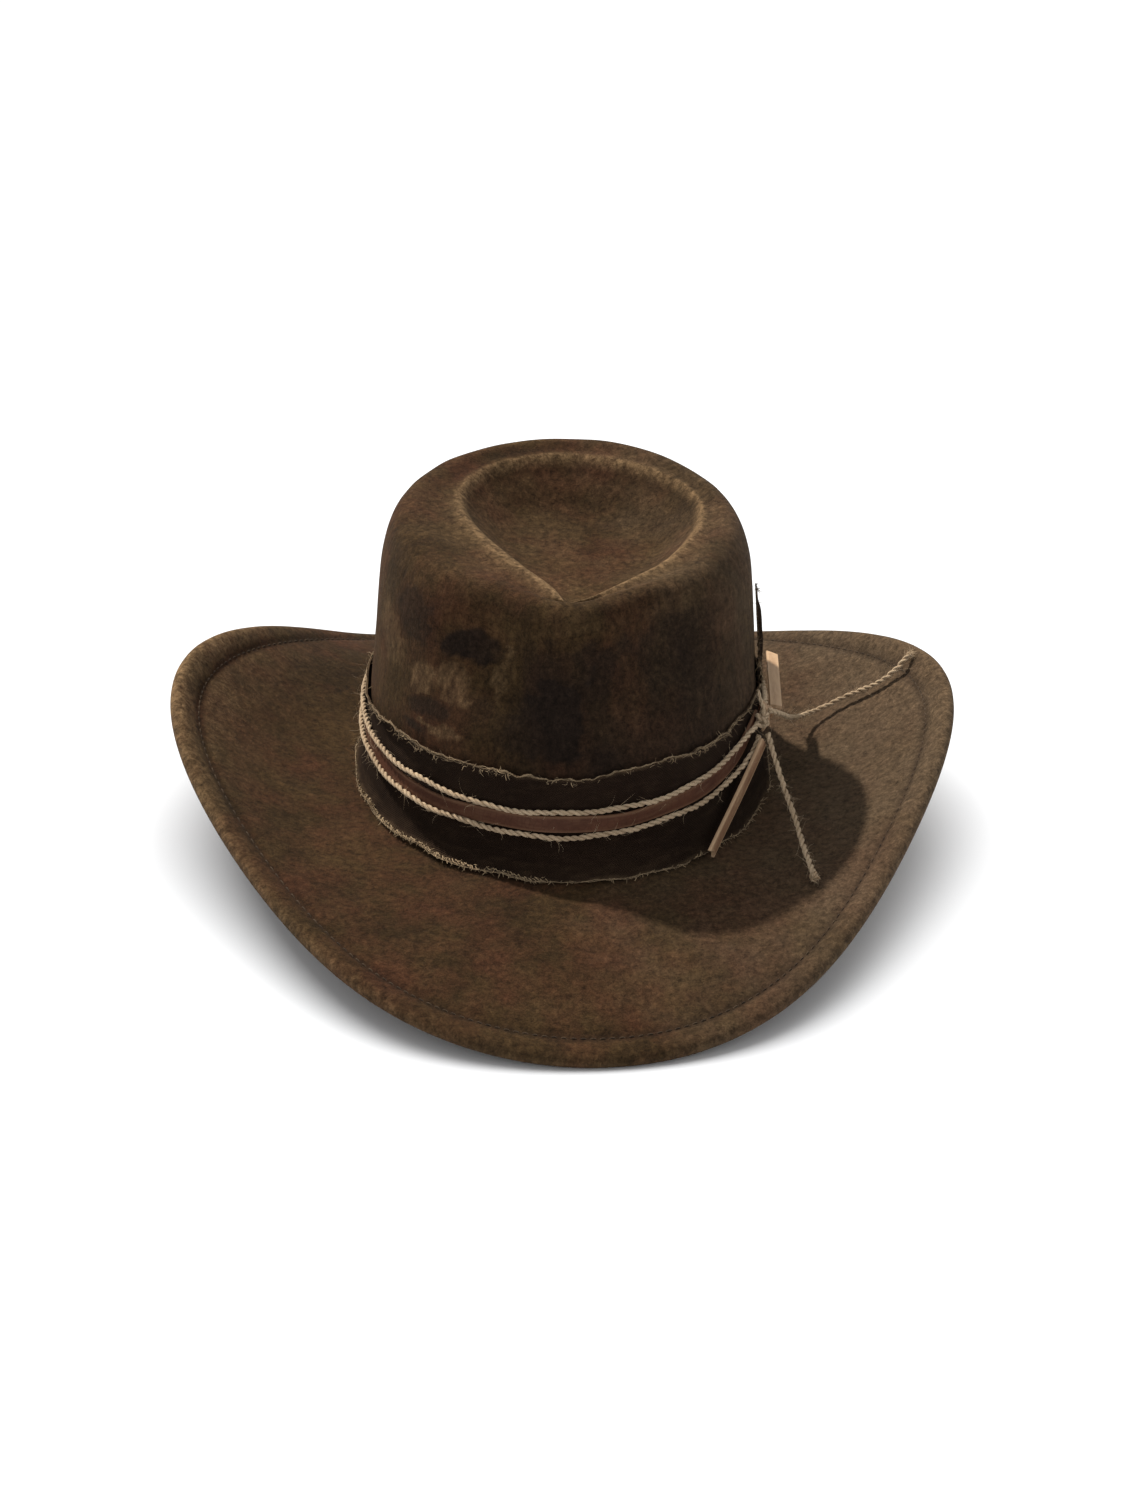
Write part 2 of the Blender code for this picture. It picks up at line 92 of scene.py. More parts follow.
def ramp(x, start, span):
    """0 at the start, 1 a span further on."""
    return np.clip((x - start) / span, 0, 1)


def arc(start, end, count):
    """Angles from start to end in degrees, given in radians."""
    return np.radians(np.linspace(start, end, count))


def lengths(path):
    """Distance along a path at each of its points."""
    return np.concatenate([[0], np.cumsum(np.linalg.norm(np.diff(path, axis=0), axis=1))])


def pairs(a, b):
    """Grid of (a, b), one row for each a."""
    return np.stack(np.broadcast_arrays(a[:, None], b[None, :]), -1)


def outward(point):
    """Level direction from the crown's axis out through a point."""
    return unit((point - [0, CROWN_Y, 0]) * [1, 1, 0])


def brim_edge(theta):
    """Outline of the brim: a long oval with its sides rolled up and its ends low."""
    x = BRIM_A * np.cos(theta) * (1 + wave(theta, [(2, .014, 0), (4, .048, 0)]))
    y = BRIM_B * np.sin(theta) * (1 - wave(theta, [(2, .067, 0), (4, .046, 0), (6, .009, 0)]))
    z = BRIM_LIFT + wave(theta, [(2, SIDE_RISE, -1.3 * MM), (4, SIDE_SHARP, -2.0 * MM),
                                 (1, 0, -1.2 * MM), (3, 0, 2.8 * MM), (5, 0, 4.0 * MM)])
    over = z + END_DIP
    z = 0.5 * (over + np.sqrt(over ** 2 + (0.5 * MM) ** 2)) - END_DIP
    return np.stack([x, y, z + BREAK_Z], -1)


def pinch(theta, z):
    """Inward push of the two dents either side of the front ridge."""
    deg = np.degrees(theta) % 360
    tall = bell(z, PINCH_Z, PINCH_TALL)
    return sum(depth * bell(deg, middle, wide) * tall for middle, depth, wide in PINCHES)


def crown_point(theta, z, off=0.0):
    """Point on the crown wall: height above the break, distance out from mid-felt."""
    z = z + 0 * theta
    t = z / SHOULDER_Z
    a = HEAD_A + (TOP_A - HEAD_A) * t
    b = HEAD_B + (TOP_B - HEAD_B) * t
    c, s = np.cos(theta), np.sin(theta)
    n = unit(np.stack([c / a, s / b, 0 * c], -1))
    p = np.stack([a * c, b * s + CROWN_Y, z + BREAK_Z], -1)
    return p + n * np.reshape(off - pinch(theta, z), (-1, 1))


def brim_base(theta, dist):
    """Brim surface at a distance in from its edge, in plan."""
    inner, edge = crown_point(theta, 0), brim_edge(theta)
    width = np.linalg.norm((edge - inner)[:, :2], axis=1)
    u = 1 - dist / width
    p = inner + (edge - inner) * u[:, None]
    bend = 1.8 + 0.2 * np.cos(2 * theta)
    p[:, 2] = BREAK_Z + (edge[:, 2] - BREAK_Z) * np.clip(u, 0, None) ** bend
    return p


def brim_frame(theta):
    """Outward and upward directions along the brim's edge."""
    step = 1e-3
    along = unit(brim_edge(theta + step) - brim_edge(theta - step))
    out = brim_base(theta, 0) - brim_base(theta, 3 * MM)
    out = unit(out - along * np.sum(out * along, axis=1, keepdims=True))
    return out, np.cross(out, along)


def crest_z(y):
    """Height of the crown's top above the break; it rises to the back."""
    return CREST_Z + CREST_SLOPE * y


def teardrop(theta):
    """Outline of the dish in plan; its points are spread out near the front tip."""
    turn = knot_turn(theta, 270)
    theta = theta + np.sign(turn) * np.radians(17) * np.sin(np.pi * ramp(np.abs(turn), 0, 120))
    c, s = np.cos(theta), np.sin(theta)
    x = TEAR_A * c * ((1 + s) / 2) ** 0.75 * (1 - 0.18 * s ** 2) + TEAR_SIDES * c ** 2 - 1 * MM
    ahead = TEAR_B * (1 + s)
    x = x + (5.0 * c - 2.0) * MM * bell(ahead, 0, 16 * MM)
    y = np.sqrt(ahead ** 2 + TIP_ROUND ** 2) - TIP_ROUND + TEAR_TIP + TEAR_BACK * ramp(s, -0.4, 1.4)
    return np.stack([x, y], -1)


def felt_rows(theta):
    """Mid-surface of the felt, from the raw edge of the welt to the dish floor."""
    out, up = brim_frame(theta)
    heart = brim_base(theta, FOLD_R + FELT_T / 2) - up * WELT_GAP / 2
    rows = [brim_base(theta, dist * MM) + up * (lift * MM - WELT_GAP)
            for dist, lift in [(13.5, -0.1), (10.5, -0.5), (7.0, -0.8)]]
    turns = np.radians((-90, -45, 0, 45, 90))
    rows += [heart + (out * math.cos(a) + up * math.sin(a)) * FOLD_R for a in turns]
    rows += [brim_base(theta, dist * MM) + up * lift * MM for dist, lift in [(7.0, 0.8), (10.5, -0.5)]]
    width = np.linalg.norm((brim_edge(theta) - crown_point(theta, 0))[:, :2], axis=1)
    rows += [brim_base(theta, GROOVE_IN + (width - GROOVE_IN) * share)
             for share in (0.05, 0.15, 0.3, 0.46, 0.62, 0.78, 0.91)]
    rows += [crown_point(theta, z * MM, off * MM) for off, z in ((3.4, 0.3), (1.2, 1.3), (0.2, 3.8))]
    rows += [crown_point(theta, z * MM) for z in (10, 27, 44, 60, 75, 88)]
    c, s = np.cos(theta), np.sin(theta)
    for f in np.radians((25, 48, 70, 90)):
        shrink = 1.5 * MM * math.sin(f) + SHOULDER_R * (1 - math.cos(f))
        p = np.stack([(TOP_A - shrink) * c, (TOP_B - shrink) * s, 0 * c], -1)
        p[:, 2] = SHOULDER_Z + (crest_z(p[:, 1]) - SHOULDER_Z) * math.sin(f)
        n = unit(np.stack([c / TOP_A, s / TOP_B, 0 * c], -1))
        rows.append(p + [0, CROWN_Y, BREAK_Z] - n * pinch(theta, p[:, 2])[:, None])
    tear = teardrop(theta)
    lip = np.concatenate([tear, (crest_z(tear[:, 1]) - LIP_DROP)[:, None]], 1) + [0, CROWN_Y, BREAK_Z]
    rows += [(rows[-1] + lip) / 2 + [0, 0, 0.9 * MM], lip]
    for share, depth in ((0.84, 0.42), (0.66, 0.84), (0.44, 0.97), (0.2, 1.0), (0.08, 1.0)):
        q = np.array(DISH_HEART) + (tear - DISH_HEART) * share
        z = crest_z(q[:, 1]) - LIP_DROP - (DISH_DEPTH - LIP_DROP) * depth
        rows.append(np.concatenate([q, z[:, None]], 1) + [0, CROWN_Y, BREAK_Z])
    return np.array(rows)


def knot_turn(theta, middle=KNOT_DEG):
    """Degrees round the crown from the knot or another angle, -180 to 180."""
    return (np.degrees(theta) - middle + 180) % 360 - 180


def bump_at(theta, middle, width):
    """1 at an angle round the crown, falling off over a width in degrees."""
    return bell(knot_turn(theta, middle), 0, width)


def strap_height(theta):
    """Height of the thong above the break: low in front, high at the knot."""
    return (29 + 4.6 * np.sin(theta) + 5.5 * bump_at(theta, 337, 45) + 8 * bump_at(theta, 337, 14)) * MM


# loose ends: x, y and height above the break, in millimetres, as in the CAD model
SIDE_TAIL = [(82.7, -40.3, 45.4), (87.5, -36, 42.0), (93.3, -24, 34.2), (98.8, -5, 24.4), (104, 13, 15.2),
             (110, 21.5, 12.7), (118, 25, 14.1), (128, 26, 18.9), (141, 22.5, 27), (149, 23, 33.7),
             (155, 26, 39.7)]
FRONT_TAIL = [(81.8, -45.8, 37.4), (83.6, -53, 31.3), (86.7, -63, 22.3), (90, -77, 14.3), (91.6, -93, 9.4),
              (93.4, -111.5, 6.7)]
BACK_TAIL = [(87.8, -26.0, 40.0), (94.2, 31.0, 37.8)]


def from_break(points):
    """Points in millimetres above the break, in metres above the floor."""
    return np.asarray(points, dtype=float) * MM + [0, 0, BREAK_Z]


def curve_through(pts, count):
    """Smooth line through points, in metres."""
    pts = np.concatenate([[2 * pts[0] - pts[1]], pts, [2 * pts[-1] - pts[-2]]])
    spans = len(pts) - 3
    out = []
    for u in np.linspace(0, spans, count):
        i = min(int(u), spans - 1)
        t = u - i
        a, b, c, d = pts[i:i + 4]
        out.append(0.5 * (2 * b + (c - a) * t + (2 * a - 5 * b + 4 * c - d) * t ** 2
                          + (3 * b - a - 3 * c + d) * t ** 3))
    return np.array(out)


# ---- mesh helpers
class Soup:
    """Vertices, faces, one shade value per vertex and one uv pair per vertex."""

    def __init__(self):
        self.verts, self.faces, self.shade, self.uv, self.size = [], [], [], [], 0

    def add(self, verts, faces, shade=0.0, uv=None):
        verts = np.asarray(verts, dtype=float).reshape(-1, 3)
        self.faces += [tuple(i + self.size for i in f) for f in faces]
        self.verts.append(verts)
        self.shade.append(np.broadcast_to(np.asarray(shade, dtype=float), (len(verts),)))
        self.uv.append(np.zeros((len(verts), 2)) if uv is None else np.asarray(uv, dtype=float).reshape(-1, 2))
        self.size += len(verts)

    def build(self, name, mat, smooth_deg=50):
        mesh = bpy.data.meshes.new(name)
        verts = np.concatenate(self.verts)
        verts[:, 2] = np.maximum(verts[:, 2], 0.0)
        mesh.from_pydata(verts.tolist(), [], self.faces)
        mesh.validate()
        mesh.attributes.new("shade", "FLOAT", "POINT").data.foreach_set("value", np.concatenate(self.shade))
        index = np.zeros(len(mesh.loops), dtype=np.int32)
        mesh.loops.foreach_get("vertex_index", index)
        layer = mesh.uv_layers.new(name="run")
        layer.data.foreach_set("uv", np.concatenate(self.uv)[index].ravel())
        mesh.shade_smooth()
        if smooth_deg:
            mesh.set_sharp_from_angle(angle=math.radians(smooth_deg))
        mesh.materials.append(mat)
        obj = bpy.data.objects.new(name, mesh)
        bpy.context.scene.collection.objects.link(obj)
        return obj


def grid_faces(rows, cols, closed):
    """Quads of a grid of points; closed joins each row's ends."""
    return [(i * cols + k, i * cols + (k + 1) % cols, (i + 1) * cols + (k + 1) % cols, (i + 1) * cols + k)
            for i in range(rows - 1) for k in range(cols if closed else cols - 1)]


def frames(path):
    """Tangent and two transported cross directions along a path."""
    ahead = unit(np.gradient(path, axis=0))
    side = np.zeros_like(path)
    start = np.cross(ahead[0], [0.0, 0.0, 1.0])
    if np.linalg.norm(start) < 0.2:
        start = np.cross(ahead[0], [0.0, 1.0, 0.0])
    side[0] = unit(start)
    for i in range(1, len(path)):
        v = side[i - 1] - ahead[i] * np.dot(side[i - 1], ahead[i])
        side[i] = v / np.linalg.norm(v)
    return ahead, side, np.cross(ahead, side)


def tube(soup, path, radius, sides=6, shade=0.0, point=0.0):
    """Round strand along a path; point tapers its far end to that share."""
    path = np.asarray(path)
    count = len(path)
    side, up = frames(path)[1:]
    r = np.broadcast_to(np.asarray(radius, dtype=float), (count,)).copy()
    if point:
        r *= 1 - point * np.linspace(0, 1, count) ** 2
    angle = np.arange(sides) * 2 * math.pi / sides
    ring = (side[:, None] * np.cos(angle)[None, :, None] + up[:, None] * np.sin(angle)[None, :, None])
    verts = path[:, None] + ring * r[:, None, None]
    faces = grid_faces(count, sides, True)
    faces += [tuple(range(sides))[::-1], tuple((count - 1) * sides + k for k in range(sides))]
    uv = pairs(lengths(path), np.arange(sides) / sides)
    shades = np.repeat(np.broadcast_to(np.asarray(shade, dtype=float), (count,)), sides)
    soup.add(verts, faces, shades, uv)


def resample(path, step):
    """The same path with points about a step apart."""
    run = lengths(path)
    at = np.linspace(0, run[-1], max(4, int(run[-1] / step)))
    return np.stack([np.interp(at, run, path[:, k]) for k in range(3)], -1)


PLY_SIDES = 9


def twine(soup, path, radius, pitch=6.4 * MM, loosen=0.0):
    """Two-ply twine wound round the path, with painted shade in the lay, opening at its end by loosen."""
    path = resample(path, 0.4 * MM)
    side, up = frames(path)[1:]
    run = np.arange(len(path)) * np.linalg.norm(path[1] - path[0])
    ply_r = radius * 0.56
    spread = (radius - ply_r) * (1 + loosen * np.linspace(0, 1, len(path)) ** 8)
    for k in range(2):
        lean = 0.35 * np.sin(run / (11 * MM) + 2.1 * k) + 0.2 * np.sin(run / (4.3 * MM))
        phase = run / pitch * 2 * math.pi + k * math.pi + lean
        line = path + (side * np.cos(phase)[:, None] + up * np.sin(phase)[:, None]) * spread[:, None]
        swell = ply_r * (1 + 0.10 * np.sin(run / (2.7 * MM) + 1.7 * k) + 0.06 * np.sin(run / (1.1 * MM) + k))
        first = len(soup.shade)
        tube(soup, line, swell, PLY_SIDES, 0.12 * np.sin(run / (9 * MM) + k) + RNG.uniform(-0.08, 0.08))
        rings = soup.verts[first].reshape(len(path), PLY_SIDES, 3)
        # painted shade: the ply surface near the strand's middle, in the lay, is darkened
        reach = np.linalg.norm(rings - path[:, None], axis=2) / radius
        soup.shade[first] = soup.shade[first] - 1.1 * np.clip(0.80 - reach.ravel(), 0, 1)


def stray_fibres(soup, path, radius, count, length=(3, 9), thick=(0.03, 0.055)):
    """Fine hairs leaving a strand at random and curling back along it."""
    path = resample(np.asarray(path), 0.5 * MM)
    ahead, side, up = frames(path)
    for _ in range(count):
        i = int(np.clip(RNG.normal(RNG.choice(len(path) // 9) * 9 + 4, 2.0), 1, len(path) - 2))
        angle = RNG.uniform(0, 2 * math.pi)
        out = side[i] * math.cos(angle) + up[i] * math.sin(angle)
        way = ahead[i] * RNG.choice([-1, 1]) * RNG.uniform(0.7, 1.4) + out * RNG.uniform(0.1, 0.75)
        root = path[i] + out * radius * 0.7
        hair(soup, root, way, RNG.uniform(*length) * MM, RNG.uniform(*thick) * MM, 0.75)


def hair(soup, root, way, length, radius, curl=0.5, shade=None, steps=6):
    """One thin curling fibre."""
    way = unit(np.asarray(way, dtype=float))
    bend = unit(RNG.normal(size=3)) * curl
    pts = [np.asarray(root, dtype=float)]
    for _ in range(steps):
        pts.append(pts[-1] + way * length / steps)
        way = unit(way + bend * 0.45 + RNG.normal(size=3) * 0.10)
    tube(soup, pts, radius, 3, RNG.uniform(-0.2, 0.3) if shade is None else shade, 0.7)


def field(points, scale, seed=0.0):
    """Smooth noise from -1 to 1 at each point; scale is its size in metres."""
    shift = Vector((seed, 3.1 * seed, -1.7 * seed))
    flat = np.asarray(points).reshape(-1, 3) / scale
    values = [noise.noise(Vector(p) + shift) for p in flat]
    return np.array(values).reshape(np.asarray(points).shape[:-1])


# ---- materials
class Look:
    """A Principled material built node by node."""

    def __init__(self, name, roughness, sheen=0.0, tint=(1, 1, 1), specular=0.5):
        self.mat = bpy.data.materials.new(name)
        self.mat.use_nodes = True
        self.nodes, self.links = self.mat.node_tree.nodes, self.mat.node_tree.links
        self.bsdf = self.nodes["Principled BSDF"]
        self.bsdf.inputs["Roughness"].default_value = roughness
        self.bsdf.inputs["Sheen Weight"].default_value = sheen
        self.bsdf.inputs["Sheen Roughness"].default_value = 0.45
        self.bsdf.inputs["Sheen Tint"].default_value = (*tint, 1)
        self.bsdf.inputs["Specular IOR Level"].default_value = specular
        self.place = self.add("ShaderNodeTexCoord").outputs["Object"]

    def add(self, kind, inputs=(), **props):
        node = self.nodes.new(kind)
        for key, value in props.items():
            setattr(node, key, value)
        for key, value in dict(inputs).items():
            self.feed(node.inputs[key], value)
        return node

    def feed(self, socket, value):
        if isinstance(value, bpy.types.NodeSocket):
            self.links.new(value, socket)
        elif isinstance(value, tuple) and len(value) == 3 and socket.type == "RGBA":
            socket.default_value = (*value, 1)
        else:
            socket.default_value = value

    def stretch(self, vector, scale, turn=(0, 0, 0)):
        return self.add("ShaderNodeMapping", {"Vector": vector, "Scale": scale, "Rotation": turn}).outputs[0]

    def noise(self, scale, detail=3.0, rough=0.55, vector=None, distort=0.0):
        made = self.add("ShaderNodeTexNoise", {"Vector": vector or self.place, "Scale": scale, "Detail": detail,
                                               "Roughness": rough, "Distortion": distort})
        return made.outputs["Fac"]

    def cells(self, scale, vector=None, feature="F1"):
        ins = {"Vector": vector or self.place, "Scale": scale}
        made = self.add("ShaderNodeTexVoronoi", ins, feature=feature)
        return made.outputs["Distance"]

    def math(self, op, a, b=0.0, clamp=False):
        return self.add("ShaderNodeMath", {0: a, 1: b}, operation=op, use_clamp=clamp).outputs[0]

    def span(self, value, low, high, to_low=0.0, to_high=1.0):
        made = self.add("ShaderNodeMapRange", {"Value": value, "From Min": low, "From Max": high,
                                               "To Min": to_low, "To Max": to_high})
        return made.outputs[0]

    def mix(self, share, a, b, blend="MIX"):
        made = self.add("ShaderNodeMix", {0: share, 6: a, 7: b}, data_type="RGBA", blend_type=blend)
        return made.outputs[2]

    def shade(self):
        return self.add("ShaderNodeAttribute", attribute_name="shade").outputs["Fac"]

    def run(self):
        return self.add("ShaderNodeUVMap", uv_map="run").outputs[0]

    def bump(self, height, depth, strength=1.0, normal=None):
        ins = {"Height": height, "Distance": depth, "Strength": strength}
        if normal is not None:
            ins["Normal"] = normal
        return self.add("ShaderNodeBump", ins).outputs[0]

    def done(self, colour, normal=None, roughness=None):
        self.links.new(colour, self.bsdf.inputs["Base Color"])
        if normal is not None:
            self.links.new(normal, self.bsdf.inputs["Normal"])
        if roughness is not None:
            self.links.new(roughness, self.bsdf.inputs["Roughness"])
        return self.mat


def felt_look():
    """Worn felt: blotches, reddish stains, a painted pale glare over the right side, nap and fine grain."""
    k = Look("brushed_felt", 0.95, 0.05, (0.75, 0.58, 0.40), 0.08)
    big = k.span(k.noise(19, 5, 0.62, distort=0.6), 0.36, 0.66)
    red = k.span(k.noise(34, 4, 0.6, vector=k.stretch(k.place, (1, 1, 0.6), (0.3, 0, 0.8))), 0.42, 0.66)
    nap = k.noise(330, 5, 0.7, vector=k.stretch(k.place, (1, 1, 0.28)), distort=0.5)
    smear = k.span(k.noise(75, 4, 0.6, vector=k.stretch(k.place, (1, 1, 0.35)), distort=0.8), 0.5, 0.74)
    grain = k.noise(1500, 4, 0.7)
    # painted glare: the felt turns paler and greyer towards the right, by its x position
    side = k.add("ShaderNodeSeparateXYZ", {0: k.place}).outputs[0]
    drift = k.span(k.noise(26, 4, 0.6), 0.3, 0.7, -0.03, 0.03)
    right_glare = k.span(k.math("ADD", side, drift), 0.01, 0.15, 0.0, 0.8)
    mottle = k.noise(430, 6, 0.78, distort=0.4)
    colour = k.mix(big, (0.027, 0.0155, 0.0066), (0.056, 0.0325, 0.0135))
    colour = k.mix(k.math("MULTIPLY", red, 0.8), colour, (0.060, 0.0240, 0.0125))
    colour = k.mix(k.math("MULTIPLY", smear, 0.5), colour, (0.020, 0.0100, 0.0058))
    colour = k.mix(right_glare, colour, (0.100, 0.070, 0.044))
    # positive shade values lighten (rubbed nap, painted highlight and painted light), negative ones darken
    # (painted shade and blotches)
    wear_and_light = k.shade()
    light = k.math("MULTIPLY", k.math("MAXIMUM", wear_and_light, 0.0), k.span(nap, 0.3, 0.62, 0.35, 1.15))
    dark = k.math("MAXIMUM", k.math("MULTIPLY", wear_and_light, -1.0), 0.0)
    colour = k.mix(k.math("MULTIPLY", light, 1.0, True), colour, (0.192, 0.122, 0.062))
    colour = k.mix(k.math("MULTIPLY", dark, 1.0, True), colour, (0.0148, 0.0094, 0.0067))
    depth = k.math("MULTIPLY", k.span(nap, 0.25, 0.75, 0.62, 1.38), k.span(grain, 0.25, 0.75, 0.68, 1.32))
    depth = k.math("MULTIPLY", depth, k.span(mottle, 0.32, 0.68, 0.40, 1.54))
    tone = k.add("ShaderNodeCombineColor", {0: depth, 1: depth, 2: depth}).outputs[0]
    colour = k.mix(1.0, colour, tone, "MULTIPLY")
    normal = k.bump(nap, 0.7 * MM, 0.85)
    normal = k.bump(mottle, 0.5 * MM, 0.8, normal)
    normal = k.bump(grain, 0.35 * MM, 0.85, normal)
    return k.done(colour, normal)


def jute_look():
    """Fibres along the strand, with painted shade in the lay and dark patches."""
    k = Look("jute_twine", 0.9, 0.25, (1.0, 0.86, 0.62), 0.25)
    along = k.stretch(k.run(), (90, 5.0, 1))
    fibre = k.noise(7, 4, 0.65, vector=k.stretch(k.run(), (260, 9.0, 1)))
    patch = k.span(k.noise(4, 3, 0.6, vector=along), 0.3, 0.7)
    tone = k.span(k.math("ADD", k.shade(), k.math("MULTIPLY", patch, 0.3)), -0.55, 0.35)
    colour = k.mix(tone, (0.17, 0.10, 0.052), (0.84, 0.66, 0.45))
    colour = k.mix(k.span(fibre, 0.36, 0.60), (0.26, 0.165, 0.09), colour)
    return k.done(colour, k.bump(fibre, 0.25 * MM, 0.9))


def thread_look(name, dark, light):
    """Loose thread or fibre, dark to light by its shade value."""
    k = Look(name, 0.95, 0.2, (1.0, 0.85, 0.65), 0.2)
    fibre = k.noise(2200, 3, 0.6)
    tone = k.span(k.math("ADD", k.shade(), k.span(fibre, 0.3, 0.7, -0.2, 0.2)), -0.35, 0.45)
    return k.done(k.mix(tone, dark, light), k.bump(fibre, 0.1 * MM, 0.6))


def cloth_look():
    """Coarse plain weave: the two thread directions alternate over and under."""
    k = Look("band_cloth", 0.95, 0.02, (0.8, 0.62, 0.48), 0.08)
    sep = k.add("ShaderNodeSeparateXYZ", {0: k.run()})
    pitch = 2 * math.pi / (1.1 * MM)
    wobble = k.math("MULTIPLY", k.noise(120, 3, 0.6), 3.0)
    u = k.math("SINE", k.math("ADD", k.math("MULTIPLY", sep.outputs[0], pitch), wobble))
    v = k.math("SINE", k.math("ADD", k.math("MULTIPLY", sep.outputs[1], pitch), wobble))
    weave = k.math("MULTIPLY", u, v)
    slub = k.noise(260, 4, 0.65, vector=k.stretch(k.place, (0.5, 0.5, 1.6)))
    worn = k.span(k.noise(38, 4, 0.6), 0.4, 0.7)
    colour = k.mix(worn, (0.021, 0.0115, 0.0068), (0.034, 0.0195, 0.0115))
    colour = k.mix(k.span(slub, 0.5, 0.72, 0.0, 0.5), colour, (0.060, 0.036, 0.021))
    colour = k.mix(k.span(weave, -1.0, 1.0, 0.6, 0.0), colour, (0.008, 0.0045, 0.003))
    edge = k.math("MULTIPLY", k.math("MAXIMUM", k.shade(), 0.0), k.span(slub, 0.3, 0.6), True)
    colour = k.mix(edge, colour, (0.17, 0.115, 0.065))
    normal = k.bump(weave, 0.3 * MM, 0.9)
    return k.done(colour, k.bump(slub, 0.3 * MM, 0.6, normal))


def leather_look(name, dark, light, edge, rough=0.62, scale=1.0):
    """Pebbled grain with worn patches and lighter cut edges."""
    k = Look(name, rough, 0.0, (1.0, 0.85, 0.7), 0.2)
    pore = k.cells(1100 * scale)
    crease = k.cells(420 * scale, vector=k.stretch(k.place, (1, 1, 0.6)), feature="DISTANCE_TO_EDGE")
    stain = k.span(k.noise(70, 5, 0.6), 0.35, 0.68)
    streak = k.noise(240, 4, 0.6, vector=k.stretch(k.run(), (0.22, 1.6, 1)))
    colour = k.mix(stain, dark, light)
    colour = k.mix(k.span(streak, 0.48, 0.7, 0.0, 0.45), colour, edge)
    colour = k.mix(k.span(crease, 0.0, 0.12, 0.45, 0.0), colour, dark)
    rim = k.math("MULTIPLY", k.math("MAXIMUM", k.shade(), 0.0), k.span(streak, 0.25, 0.6, 0.5, 1.0), True)
    colour = k.mix(rim, colour, edge)
    normal = k.bump(pore, 0.12 * MM, 0.5)
    normal = k.bump(k.span(crease, 0.0, 0.15), 0.10 * MM, 0.7, normal)
    normal = k.bump(streak, 0.2 * MM, 0.5, normal)
    return k.done(colour, normal, k.span(stain, 0.0, 1.0, rough + 0.1, rough - 0.08))


def steel_look():
    """Bare drawn wire."""
    k = Look("drawn_steel", 0.32)
    k.bsdf.inputs["Metallic"].default_value = 1.0
    scratch = k.noise(700, 3, 0.6, vector=k.stretch(k.place, (0.1, 1, 1)))
    return k.done(k.mix(scratch, (0.40, 0.39, 0.37), (0.66, 0.65, 0.62)), k.bump(scratch, 0.03 * MM, 0.5))


def ribbed_look(name, dark, light, ribs, sheen):
    """Ribbon or lining: fine ribs across the run of the cloth."""
    k = Look(name, 0.5, sheen, (1.0, 0.9, 0.8), 0.4)
    sep = k.add("ShaderNodeSeparateXYZ", {0: k.run()})
    rib = k.math("SINE", k.math("MULTIPLY", sep.outputs[0], 2 * math.pi / ribs))
    cloud = k.noise(60, 4, 0.6)
    colour = k.mix(k.span(rib, -1, 1), dark, light)
    colour = k.mix(k.span(cloud, 0.4, 0.7, 0.0, 0.5), colour, dark)
    return k.done(colour, k.bump(rib, 0.08 * MM, 0.6))


# ---- camera, light and floor
def aim(azimuth, elevation, roll=0.0):
    """Right, up and back directions of something looking at the hat."""
    a, e, r = (math.radians(v) for v in (azimuth, elevation, roll))
    back = Vector((math.sin(a) * math.cos(e), -math.cos(a) * math.cos(e), math.sin(e)))
    right = Vector((math.cos(a), math.sin(a), 0))
    up = back.cross(right)
    return right * math.cos(r) + up * math.sin(r), up * math.cos(r) - right * math.sin(r), back


def turned(obj, azimuth, elevation, distance, target, roll=0.0):
    """Object placed at a distance from a target and turned to face it."""
    right, up, back = aim(azimuth, elevation, roll)
    turn = Matrix((right, up, back)).transposed().to_4x4()
    obj.matrix_world = Matrix.Translation(Vector(target) + back * distance) @ turn
    bpy.context.scene.collection.objects.link(obj)
    return obj


# azimuth and elevation in degrees, distance and target in metres
CAMERA_VIEW = (-3.544, 27.479, 0.9508, (-0.0006, -0.0050, 0.0322), 0.877)
CAMERA_LENS, SENSOR_WIDTH, NEAR_CLIP = 52.65, 36.0, 0.01
SUN_FROM, SUN_ENERGY, SUN_ANGLE, SUN_COLOUR = (222, 52.5), 4.3, 2.2, (1.0, 0.93, 0.84)
SOFT_FROM, SOFT_ENERGY, SOFT_SIZE = (200, 75), 120.0, 3.0
SKY_COLOUR, SKY_STRENGTH = (0.975, 0.985, 1.0, 1), 0.58


